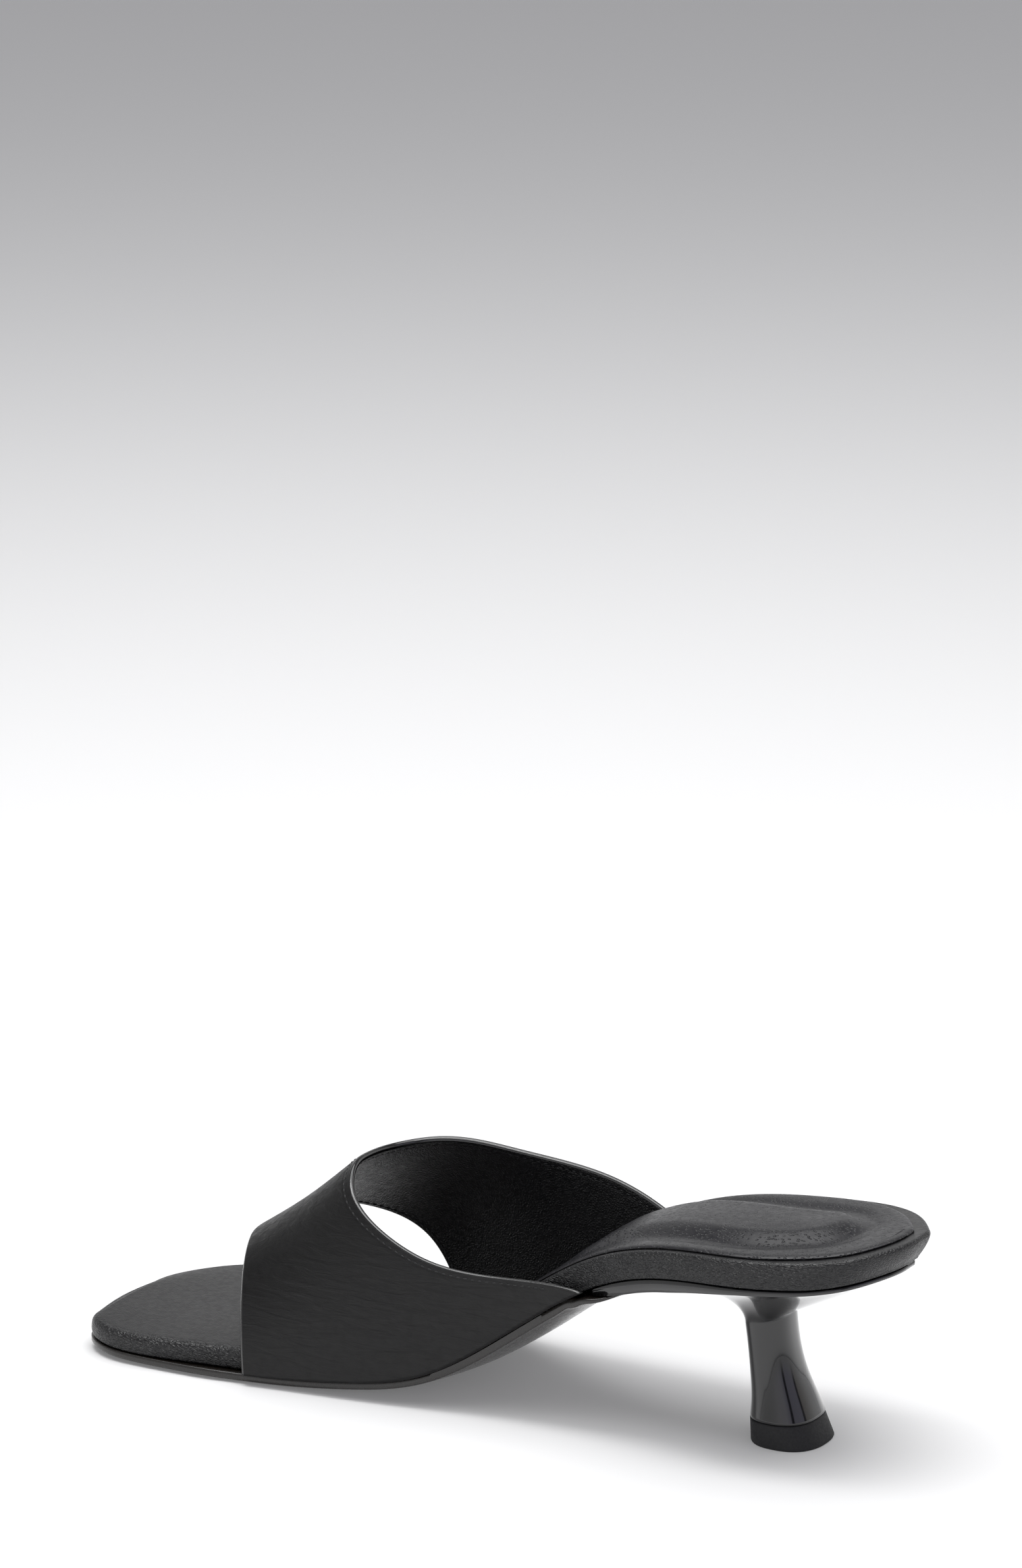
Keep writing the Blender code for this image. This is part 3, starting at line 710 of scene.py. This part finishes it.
def make_footbed():
    loop, count = ring()
    lean = undercut(loop)
    along = along_of(loop[:, 0])
    top_turn = (1.25 + 0.9 * smoothstep(0.62, 0.80, along)) * MM
    low_turn = 0.8 * MM
    low_side = lambda x: underside(x) + low_turn
    high_side = lambda x: top_side(x) - top_turn
    levels = []
    for angle in np.linspace(0, math.pi / 2, 7):
        inwards = low_turn * (1 - math.sin(angle)) + lean * (1.15 - 0.25 * math.sin(angle))
        rise = low_turn * (1 - math.cos(angle))
        levels.append((inwards, lambda x, y, r=rise: underside(x) + r))
    for share in np.linspace(0.12, 0.88, 7):
        belly = -0.12 * MM * math.sin(math.pi * share)
        levels.append((0.9 * lean * (1 - share)**1.3 + belly,
                       lambda x, y, t=share: low_side(x) * (1 - t) + high_side(x) * t))
    for angle in np.linspace(0, math.pi / 2, 9):
        levels.append((top_turn * (1 - math.cos(angle)),
                       lambda x, y, a=angle: top_side(x) - top_turn * (1 - math.sin(a))))
    low = lambda x, y, share: underside(x)

    def high(x, y, share):
        toe = smoothstep(0.60, 0.75, along_of(x))
        return top_side(x) + 0.55 * MM * toe * dome(share, 3.0)

    item = layer("footbed_wrap", levels, loop, count, band_leather(), "footbed", low, high)
    side = np.zeros(len(item.data.vertices), np.float32)
    side[:len(loop) * (len(levels) - 5)] = 1.0
    side[len(loop) * (len(levels) - 5):len(loop) * len(levels)] = 0.6
    item.data.attributes.new("side", "FLOAT", "POINT").data.foreach_set("value", side)
    return item


def make_sock():
    loop, count = ring(last=SOCK_REACH / FOOTBED_LENGTH, rounding=0.03)
    seat = lambda x: top_side(x) + 0.5 * GAP
    base = SOCK_BORDER + (SOCK_BACK_BORDER - SOCK_BORDER) * smoothstep(0.000, -0.028, loop[:, 0])
    thick = SOCK_THICKNESS
    levels = [(base, lambda x, y: seat(x))]
    for extra in (0.0, 0.12, 0.3, 0.6, 1.0, 1.5, 2.1, 2.8):
        share = 0.35 + 0.65 * (1 - math.exp(-extra / 0.7))
        levels.append((base + extra * MM,
                       lambda x, y, t=share: seat(x) + t * thick + t * sock_relief(x, y)))
    low = lambda x, y, share: seat(x)
    high = lambda x, y, share: seat(x) + thick + sock_relief(x, y)
    item = layer("sock_lining", levels, loop, count, sock_leather(), "sock", low, high)
    return item


def plate_depth(x):
    return PLATE_EDGE * plate_share_at(along_of(x)) * steepness(x)


def outsole_top(x):
    nose = x_of(PLATE_REACH / FOOTBED_LENGTH)
    under_nose = smoothstep(0, 1, (nose + NOSE_RAMP - x) / (NOSE_RAMP - GAP))
    return underside(x) - GAP - under_nose * (plate_depth(np.minimum(x, nose)) + GAP)


def outsole_depth(x):
    tail = x_of(OUTSOLE_TAIL / FOOTBED_LENGTH)
    share = np.clip((x - tail) / OUTSOLE_SKIVE_LENGTH, 0, 1)
    return (OUTSOLE_SKIVE + share * (OUTSOLE_EDGE - OUTSOLE_SKIVE)) * steepness(x)


def outsole_bottom(x):
    return np.maximum(outsole_top(x) - outsole_depth(x), 0.0)


def outsole_spread(x):
    wall = UPPER_WALL + SIDE_GAP
    front = x_of(FRONT_REACH / FOOTBED_LENGTH)
    return OUTSOLE_MARGIN + wall * (1 - smoothstep(0, 1, (x - front + SPREAD_START) / SPREAD_RUN_OUT))


def make_outsole():
    loop, count = ring(first=OUTSOLE_TAIL / FOOTBED_LENGTH, rounding=OUTSOLE_TAIL_ROUND / FOOTBED_LENGTH)
    spread = outsole_spread(loop[:, 0])
    turn_depth = lambda x: np.minimum(0.5 * (outsole_top(x) - outsole_bottom(x)), 1.1 * MM)
    levels = []
    for angle in np.linspace(0, math.pi / 2, 8):
        inwards = 1.5 * MM * (1 - math.sin(angle))
        levels.append((inwards - spread,
                       lambda x, y, a=angle: outsole_bottom(x) + turn_depth(x) * (1 - math.cos(a))))
    levels.append((-spread, lambda x, y: outsole_top(x) - 0.2 * MM))
    levels.append((0.2 * MM - spread, lambda x, y: outsole_top(x)))
    high = lambda x, y, share: outsole_top(x)

    def low(x, y, share):
        clear = outsole_bottom(x)
        deeper = OUTSOLE_WAIST_CROWN * waist_crown_at(along_of(x)) * steepness(x) * dome(share)
        flat = clear * tread_at(along_of(x)) * smoothstep(0, 0.2, min(share, 1 - share))
        return clear - np.minimum(clear, np.maximum(deeper, flat))

    leather = outsole_leather()
    return layer("outsole_unit", levels, loop, count, leather, "outsole", low, high, sharp=50)


def superellipse(turn, half_length, half_width, fullness):
    a = np.abs(np.cos(turn) / half_length)**fullness
    b = np.abs(np.sin(turn) / half_width)**fullness
    return (a + b)**(-1 / fullness)


def stem_section(turn, height_share):
    slimming = slimming_at(height_share)
    foot_length = LIFT_LENGTH - 2 * LIFT_TAPER
    foot_width = LIFT_WIDTH - LIFT_TAPER
    half_length = (foot_length + slimming * (NECK_LENGTH - foot_length)) / 2
    half_width = (foot_width + slimming * (NECK_WIDTH - foot_width)) / 2
    reach = superellipse(turn, half_length, half_width, STEM_FULLNESS)
    forward = stem_lean_at(height_share) * NECK_FORWARD
    return np.stack([forward + reach * np.cos(turn), reach * np.sin(turn)], 1)


def make_heel():
    loop, count = ring(last=PLATE_REACH / FOOTBED_LENGTH, rounding=PLATE_NOSE_ROUND / FOOTBED_LENGTH)
    edge = inset(loop, PLATE_INSET + undercut(loop))
    turn = np.arctan2(edge[:, 1], edge[:, 0] - NECK_FORWARD)
    degrees = np.degrees(turn)
    fullness = fullness_at(degrees)
    drop = drop_at(degrees)
    size = len(loop)
    seat = lambda x: underside(x) - GAP
    bevel = 0.0004

    top = inset(edge, bevel)
    rings = [np.column_stack([top, seat(top[:, 0])])]
    rings.append(np.column_stack([edge, seat(edge[:, 0]) - 0.5 * bevel]))
    low = seat(edge[:, 0]) - np.maximum(plate_depth(edge[:, 0]), 1.5 * bevel)
    rings.append(np.column_stack([edge, low]))

    neck = stem_section(turn, 1.0)
    neck_top = seat(neck[:, 0]) - plate_depth(neck[:, 0])
    fall = neck_top - NECK_HEIGHT
    for step in range(1, SWEEP_STEPS + 1):
        angle = step / SWEEP_STEPS * math.pi / 2
        inwards = np.sin(angle)**(2 / fullness)
        downwards = 1 - np.cos(angle)**(2 / fullness)
        points = edge + (neck - edge) * inwards[:, None]
        depth = plate_depth(edge[:, 0]) * (1 - inwards) + plate_depth(neck[:, 0]) * inwards
        rings.append(np.column_stack([points, seat(points[:, 0]) - depth - downwards * drop * fall]))

    foot = LIFT_HEIGHT + GAP
    start = rings[-1][:, 2]
    for share in np.linspace(1, 0, STEM_STEPS + 1)[1:]:
        level = foot + share * (NECK_HEIGHT - foot)
        blended = level + (start - NECK_HEIGHT) * share**3
        rings.append(np.column_stack([stem_section(turn, share), blended]))
    foot_ring = rings[-1].copy()
    foot_ring[:, :2] = stem_section(turn, 0.0) * (1 - 0.3 * MM / (LIFT_LENGTH / 2))
    foot_face = foot - 0.15 * MM
    foot_ring[:, 2] = foot_face
    rings.append(foot_ring)

    vertices = list(rings)
    faces = [strip_faces(size, len(rings))]
    total = size * len(rings)
    points, more = cap(rings[0], count, 0, total, lambda x, y, share: seat(x))
    vertices.append(points)
    faces.append(more[:, ::-1])
    total += len(points)
    flat = lambda x, y, share: np.full(len(x), foot_face)
    points, more = cap(rings[-1], count, (len(rings) - 1) * size, total, flat)
    vertices.append(points)
    faces.append(more)
    gloss = heel_gloss()
    return new_piece("heel_block", np.concatenate(vertices), np.concatenate(faces), gloss, "heel")


def make_lift():
    turn = np.linspace(0, 2 * math.pi, 160, endpoint=False)
    joint = stem_section(turn, 0.0)
    reach = superellipse(turn, LIFT_LENGTH / 2, LIFT_WIDTH / 2, STEM_FULLNESS)
    floor = np.stack([reach * np.cos(turn), reach * np.sin(turn)], 1)
    rings = []
    for inwards, z in ((1.6, 0.0), (0.45, 0.0), (0.14, 0.12), (0.0, 0.45)):
        spot = floor * (1 - inwards * MM / (LIFT_LENGTH / 2))
        rings.append(np.column_stack([spot, np.full(len(turn), z * MM)]))
    for share in np.linspace(0.1, 1, 9):
        spot = floor * (1 - share) + joint * share
        z = 0.45 * MM + share * (LIFT_HEIGHT - 0.75 * MM)
        rings.append(np.column_stack([spot, np.full(len(turn), z)]))
    spot = joint * (1 - 0.25 * MM / (LIFT_LENGTH / 2))
    rings.append(np.column_stack([spot, np.full(len(turn), LIFT_HEIGHT)]))
    size = len(turn)
    faces = [tuple(f) for f in strip_faces(size, len(rings), flip=False)]
    faces.append(tuple(range(size))[::-1])
    faces.append(tuple(range((len(rings) - 1) * size, len(rings) * size)))
    return new_piece("lift_cap", np.concatenate(rings), faces, lift_rubber(), "top_lift")


# The upper

front_at = spline(column(EDGES, "around"), column(EDGES, "front"))
topline_at = spline(column(EDGES, "around"), column(EDGES, "topline"))


def last_surface(x, around):
    """A point of the upper's outer face, from the medial sole edge over the instep to the lateral one."""
    height = INSTEP_HEIGHT * arch_height_at(along_of(x))
    lean = INSTEP_LEAN * arch_lean_at(along_of(x))
    spread = UPPER_WALL + SIDE_GAP
    cosine = np.cos(math.pi * around)
    sine = np.clip(np.sin(math.pi * around), 0, 1)
    half = np.where(cosine > 0, medial_edge(x) + spread - lean, lean - lateral_edge(x) + spread)
    y = lean + half * np.sign(cosine) * np.abs(cosine)**(2 / ARCH_FULLNESS)
    z = underside(x) + height * sine**(2 / ARCH_FULLNESS)
    return np.stack([x + 0 * y, y, z], -1)


def band_point(around, share):
    """Outer face of the band, from its front edge, share 0, to its topline, share 1."""
    front = x_of(FRONT_REACH / FOOTBED_LENGTH * front_at(around))
    back = x_of(THROAT_REACH / FOOTBED_LENGTH * topline_at(around))
    return last_surface(front * (1 - share) + back * share, around)


def band_frame(around, share):
    """Outer point, outward normal and the direction towards the topline."""
    small = 1e-3
    here = band_point(around, share)
    back = band_point(around, share + small) - band_point(around, share - small)
    low = np.clip(around - small, 0, 1)
    high = np.clip(around + small, 0, 1)
    over = band_point(high, share) - band_point(low, share)
    normal = np.cross(over, back)
    normal /= np.maximum(np.linalg.norm(normal, axis=-1), 1e-12)[..., None]
    back /= np.maximum(np.linalg.norm(back, axis=-1), 1e-12)[..., None]
    return here, normal, back


# Soft wrinkles of the lining, given in the shoe's millimetres
LINING_FOLDS = (
    Fold(0.35, 1.1, ((97, -22, 53.5), (90, -24, 51.2), (84, -25, 49.5), (78, -26, 47.5))),
    Fold(0.40, 1.0, ((79, -25, 51.5), (74, -25.3, 50.5), (68, -25.5, 49))),
    Fold(0.30, 1.0, ((75, -25.4, 48.6), (69, -25.6, 47.4), (62, -25.8, 46.2))),
    Fold(0.35, 1.3, ((84, -26, 45), (77, -26, 43), (69, -26.2, 41))),
    Fold(0.30, 1.4, ((96, -28, 32), (88, -28.4, 29.5), (80, -28.5, 28))),
    Fold(0.45, 1.0, ((139, -31, 29.5), (134, -30.5, 32.4), (129, -30.2, 34.6))),
    Fold(0.50, 0.9, ((137, -32, 28), (130, -32, 29), (121, -31.9, 30.8))),
    Fold(0.45, 0.9, ((134.5, -32.6, 27.8), (130, -33, 26.6), (125, -33.6, 24.8))),
    Fold(0.35, 1.0, ((128, -33.6, 31), (122, -33, 33), (116, -32, 35))),
    Fold(0.35, 1.3, ((114, -32.4, 22.2), (108, -31.4, 24.6), (101, -30, 27.4))),
)
# Broad soft forms of the leather outside
OUTER_FOLDS = (
    Fold(0.35, 9.0, ((118, 24, 40), (128, 31, 31), (140, 35, 16))),
    Fold(-0.30, 8.0, ((106, 26, 38), (116, 32, 26), (126, 35, 14))),
)
# Middle of the pebbled part of the skin, over the turn of the instep and down towards the front edge
PEBBLED_LINE = ((150, 2, 46), (138, 20, 40), (126, 29, 30), (140, 35, 16), (150, 35, 10))
# Places of the stitch rows, in millimetres in from the topline and from the front edge
STITCH_INSET_BACK = 2.3
STITCH_INSET_FRONT = 1.5


def make_upper():
    """One closed skin: outer face, rolled topline, lining and rolled front edge."""
    around = np.linspace(0, 1, UPPER_ROUND_STEPS + 1)
    radius = UPPER_WALL / 2
    samples = np.linspace(0, 1, 60)
    track = band_point(around[:, None], samples[None, :])
    length = np.linalg.norm(np.diff(track, axis=1), axis=2).sum(1)

    core = (1 - np.cos(np.linspace(0, math.pi, UPPER_LENGTH_STEPS))) / 2
    core = 0.45 * core + 0.55 * np.linspace(0, 1, UPPER_LENGTH_STEPS)
    first = 0.4 * radius / length
    share = first[:, None] + core[None, :] * (1 - 2 * first[:, None])
    grid = np.repeat(around[:, None], len(core), 1)
    here, normal, back = band_frame(grid, share)
    normal[0, :, 2] = 0
    normal[-1, :, 2] = 0
    normal /= np.linalg.norm(normal, axis=-1)[..., None]

    from_front = core[None, :] * length[:, None] / MM
    from_back = (1 - core[None, :]) * length[:, None] / MM
    groove = -0.10 * np.exp(-((from_back - STITCH_INSET_BACK) / 0.40)**2)
    groove -= 0.10 * np.exp(-((from_front - STITCH_INSET_FRONT) / 0.35)**2)
    groove += 0.07 * np.exp(-((from_back - 1.0) / 0.60)**2)
    outer_relief = groove * MM + relief(here.reshape(-1, 3), OUTER_FOLDS).reshape(grid.shape)
    hold = np.minimum(smoothstep(0, 0.03, grid), smoothstep(0, 0.03, 1 - grid))
    outer = here + normal * (outer_relief * hold)[..., None]

    inner_base = here - normal * UPPER_WALL
    wrinkle = relief(inner_base.reshape(-1, 3), LINING_FOLDS).reshape(grid.shape)
    seam = -0.08 * MM * np.exp(-((from_back - STITCH_INSET_BACK) / 0.35)**2)
    inner = inner_base - normal * ((wrinkle + seam) * hold)[..., None]
    for side in (0, -1):
        outer[side, :, 2] = here[side, :, 2]
        inner[side, :, 2] = here[side, :, 2]

    arcs = np.linspace(0, math.pi, 9)[1:-1]
    centre_back = here[:, -1] - normal[:, -1] * radius
    centre_front = here[:, 0] - normal[:, 0] * radius
    back_arc = []
    front_arc = []
    for angle in arcs:
        out = radius * math.cos(angle)
        past = radius * math.sin(angle)
        back_arc.append(centre_back + normal[:, -1] * out + back[:, -1] * past)
        front_arc.append(centre_front - normal[:, 0] * out - back[:, 0] * past)
    sheet = np.concatenate([outer, np.stack(back_arc, 1), inner[:, ::-1], np.stack(front_arc, 1)], 1)
    rows, columns = sheet.shape[:2]
    faces = strip_faces(columns, rows)
    ends = [tuple(range(columns)), tuple(range((rows - 1) * columns, rows * columns))[::-1]]
    faces = list(faces) + ends
    item = new_piece("band_upper", sheet.reshape(-1, 3), faces, upper_leather(), "upper")
    item.data.materials.append(lining_leather())
    item.data.materials.append(edge_paint())

    kind = np.zeros(columns, int)
    outer_last = UPPER_LENGTH_STEPS - 1
    inner_first = UPPER_LENGTH_STEPS + len(arcs)
    inner_last = inner_first + UPPER_LENGTH_STEPS - 1
    kind[outer_last:inner_first] = 2
    kind[inner_first:inner_last] = 1
    kind[inner_last:] = 2
    slots = np.tile(kind, rows - 1)
    slots = np.concatenate([slots, [0, 0]])
    item.data.polygons.foreach_set("material_index", slots.astype(np.int32))

    # The pebbled part of the skin, strongest from the front edge over the turn of the instep
    spots = sheet.reshape(-1, 3) / MM
    gap, _ = distance_to_line(spots, smooth_line(PEBBLED_LINE))
    grain = 0.25 + 0.75 * np.exp(-(gap / 17.0)**2)
    item.data.attributes.new("grain", "FLOAT", "POINT").data.foreach_set("value", grain.astype(np.float32))
    return item, length


# One stitch, from end to end: how far along it, how thick and how high over the leather
Thread = namedtuple("Thread", "at size lift")
STITCH = (
    Thread(-1.00, 0.00, -1.10),
    Thread(-0.85, 0.65, -0.45),
    Thread(-0.40, 1.00, 0.05),
    Thread(0.00, 1.00, 0.15),
    Thread(0.40, 1.00, 0.05),
    Thread(0.85, 0.65, -0.45),
    Thread(1.00, 0.00, -1.10),
)
STITCH_RADIUS = 0.20 * MM
STITCH_HALF_LENGTH = 0.72 * MM
STITCH_PITCH = 2.15 * MM


def stitch_row(name, around_range, from_edge, at_front, length, side, material):
    """A row of short thread stitches laid into the leather, a set distance in from an edge."""
    fine = np.linspace(*around_range, 1500)
    span = np.interp(fine, np.linspace(0, 1, len(length)), length)
    share = from_edge * MM / span if at_front else 1 - from_edge * MM / span
    here, normal, _ = band_frame(fine, share)
    if side == "inner":
        here = here - normal * UPPER_WALL
        normal = -normal
    steps = np.linalg.norm(np.diff(here, axis=0), axis=1)
    gone = np.concatenate([[0], np.cumsum(steps)])
    marks = np.arange(STITCH_PITCH, gone[-1] - STITCH_PITCH, STITCH_PITCH)
    turn = np.linspace(0, 2 * math.pi, 8, endpoint=False)
    vertices = []
    faces = []
    for mark in marks:
        centre = np.array([np.interp(mark, gone, here[:, c]) for c in range(3)])
        ahead = np.array([np.interp(mark + 0.3 * MM, gone, here[:, c]) for c in range(3)])
        up = np.array([np.interp(mark, gone, normal[:, c]) for c in range(3)])
        up /= np.linalg.norm(up)
        along = ahead - centre
        along -= up * (along @ up)
        along /= np.linalg.norm(along)
        across = np.cross(up, along)
        start = len(vertices)
        for at, size, lift in STITCH:
            middle = centre + along * (at * STITCH_HALF_LENGTH) + up * (lift * STITCH_RADIUS)
            for angle in turn:
                sideways = across * (math.cos(angle) * STITCH_RADIUS * size)
                upwards = up * (math.sin(angle) * STITCH_RADIUS * 0.8 * size)
                vertices.append(middle + sideways + upwards)
        count = len(turn)
        for level in range(len(STITCH) - 1):
            for i in range(count):
                a = start + level * count + i
                b = start + level * count + (i + 1) % count
                faces.append((a, b, b + count, a + count))
    return new_piece(name, vertices, faces, material)


# Studio

# Colours of the room: low down, straight up, and on its walls by compass turn, with two narrow dark gaps
HORIZON = (0.75, 0.75, 0.76)
CEILING = (0.12, 0.12, 0.13)
Wall = namedtuple("Wall", "turn colour")
ROOM_WALLS = (
    Wall(-180, (0.62, 0.61, 0.74)),
    Wall(-162, (0.62, 0.61, 0.74)),
    Wall(-160, (0.04, 0.04, 0.05)),
    Wall(-155, (0.04, 0.04, 0.05)),
    Wall(-153, (0.62, 0.59, 0.57)),
    Wall(-120, (0.70, 0.70, 0.70)),
    Wall(-60, (0.70, 0.70, 0.70)),
    Wall(-20, (0.45, 0.45, 0.45)),
    Wall(60, (0.60, 0.60, 0.60)),
    Wall(98, (0.85, 0.84, 0.88)),
    Wall(130, (0.85, 0.84, 0.92)),
    Wall(148, (0.62, 0.61, 0.74)),
    Wall(150, (0.04, 0.04, 0.05)),
    Wall(159, (0.04, 0.04, 0.05)),
    Wall(161, (0.62, 0.61, 0.74)),
    Wall(180, (0.62, 0.61, 0.74)),
)


def make_studio():
    """Plain pale floor and a plain pale room. The floor glows a little, so that shadows stay light."""
    mesh = bpy.data.meshes.new("floor")
    far = 30.0
    mesh.from_pydata([(-far, -far, 0), (far, -far, 0), (far, far, 0), (-far, far, 0)], [], [(0, 1, 2, 3)])
    floor = bpy.data.objects.new("floor", mesh)
    bpy.context.scene.collection.objects.link(floor)
    paint = bpy.data.materials.new("floor_white")
    paint.use_nodes = True
    shader = paint.node_tree.nodes["Principled BSDF"]
    shader.inputs["Base Color"].default_value = (0.80, 0.80, 0.80, 1)
    shader.inputs["Emission Color"].default_value = (1, 1, 1, 1)
    shader.inputs["Emission Strength"].default_value = 0.12
    shader.inputs["Roughness"].default_value = 0.9
    shader.inputs["Specular IOR Level"].default_value = 0.1
    mesh.materials.append(paint)

    world = bpy.data.worlds.new("studio")
    bpy.context.scene.world = world
    world.use_nodes = True
    nodes = world.node_tree.nodes
    links = world.node_tree.links
    direction = nodes.new("ShaderNodeTexCoord").outputs["Generated"]
    parts = nodes.new("ShaderNodeSeparateXYZ")
    links.new(direction, parts.inputs[0])
    turn = nodes.new("ShaderNodeMath")
    turn.operation = "ARCTAN2"
    links.new(parts.outputs["Y"], turn.inputs[0])
    links.new(parts.outputs["X"], turn.inputs[1])
    share = nodes.new("ShaderNodeMapRange")
    share.inputs["From Min"].default_value = -math.pi
    share.inputs["From Max"].default_value = math.pi
    links.new(turn.outputs[0], share.inputs["Value"])
    walls = nodes.new("ShaderNodeValToRGB")
    links.new(share.outputs["Result"], walls.inputs["Fac"])
    ramp = walls.color_ramp
    while len(ramp.elements) > 1:
        ramp.elements.remove(ramp.elements[-1])
    ramp.elements[0].position = 0.0
    ramp.elements[0].color = (*ROOM_WALLS[0].colour, 1)
    for wall in ROOM_WALLS[1:]:
        ramp.elements.new((wall.turn + 180) / 360).color = (*wall.colour, 1)
    colour = walls.outputs["Color"]
    for low, high, at_low, at_high in ((0.0, 0.20, HORIZON, None), (0.42, 0.60, None, CEILING)):
        height = nodes.new("ShaderNodeMapRange")
        height.interpolation_type = "SMOOTHSTEP"
        height.inputs["From Min"].default_value = low
        height.inputs["From Max"].default_value = high
        links.new(parts.outputs["Z"], height.inputs["Value"])
        blend = nodes.new("ShaderNodeMix")
        blend.data_type = "RGBA"
        links.new(height.outputs["Result"], blend.inputs[0])
        links.new(colour, blend.inputs[7 if at_low else 6])
        blend.inputs[6 if at_low else 7].default_value = (*(at_low or at_high), 1)
        colour = blend.outputs[2]
    links.new(colour, nodes["Background"].inputs["Color"])
    nodes["Background"].inputs["Strength"].default_value = 1.0
    return floor


def area_light(name, place, target, size, power, colour=(1, 1, 1)):
    data = bpy.data.lights.new(name, "AREA")
    data.shape = "RECTANGLE"
    data.size, data.size_y = size
    data.energy = power
    data.color = colour
    lamp = bpy.data.objects.new(name, data)
    lamp.location = place
    lamp.rotation_mode = "QUATERNION"
    lamp.rotation_quaternion = (Vector(target) - Vector(place)).to_track_quat("-Z", "Y")
    bpy.context.scene.collection.objects.link(lamp)
    return lamp


CAMERA_AZIMUTH = 209.33
CAMERA_ELEVATION = 19.24
CAMERA_DISTANCE = 1.6
CAMERA_LENS = 131.32
CAMERA_MIDDLE = Vector((0.095, 0.0, 0.025))
IMAGE_SIZE = (1552, 2380)
LIFT_PIXEL = (1203.5, 2181.0)


def make_camera():
    """The photograph's angle; turned until the top lift's middle falls on its pixel."""
    azimuth = math.radians(CAMERA_AZIMUTH)
    elevation = math.radians(CAMERA_ELEVATION)
    level = math.cos(elevation)
    back = Vector((math.sin(azimuth) * level, -math.cos(azimuth) * level, math.sin(elevation)))
    place = CAMERA_MIDDLE + back * CAMERA_DISTANCE
    focal = CAMERA_LENS / 36 * IMAGE_SIZE[1]
    yaw = math.atan2(-back.y, -back.x)
    pitch = math.asin(-back.z)
    for _ in range(30):
        level = math.cos(pitch)
        forward = Vector((math.cos(yaw) * level, math.sin(yaw) * level, math.sin(pitch)))
        right = forward.cross(Vector((0, 0, 1))).normalized()
        up = right.cross(forward)
        ray = -place
        x = IMAGE_SIZE[0] / 2 + focal * ray.dot(right) / ray.dot(forward)
        y = IMAGE_SIZE[1] / 2 - focal * ray.dot(up) / ray.dot(forward)
        yaw += (LIFT_PIXEL[0] - x) / focal / level
        pitch += (LIFT_PIXEL[1] - y) / focal
    data = bpy.data.cameras.new("camera")
    data.sensor_fit = "AUTO"
    data.sensor_width = 36
    data.lens = CAMERA_LENS
    data.clip_start = 0.05
    data.clip_end = 100
    camera = bpy.data.objects.new("camera", data)
    turn = Matrix((right, up, -forward)).transposed()
    camera.matrix_world = Matrix.Translation(place) @ turn.to_4x4()
    bpy.context.scene.collection.objects.link(camera)
    bpy.context.scene.camera = camera
    return camera


make_outsole()
make_heel()
make_lift()
make_footbed()
make_sock()
upper, band_length = make_upper()
yarn = thread()
stitch_row("topline_stitches", (0.012, 0.988), STITCH_INSET_BACK, False, band_length, "outer", yarn)
stitch_row("front_stitches", (0.012, 0.988), STITCH_INSET_FRONT, True, band_length, "outer", yarn)
stitch_row("lining_stitches", (0.02, 0.98), STITCH_INSET_BACK, False, band_length, "inner", yarn)

make_studio()
area_light("overhead", (0.08, -0.05, 1.5), (0.09, 0, 0), (2.0, 2.0), 26)
area_light("strip", (0.08, 0.10, 1.5), (0.09, 0, 0), (1.4, 0.35), 8)
make_camera()
bpy.context.scene.view_settings.view_transform = "Standard"
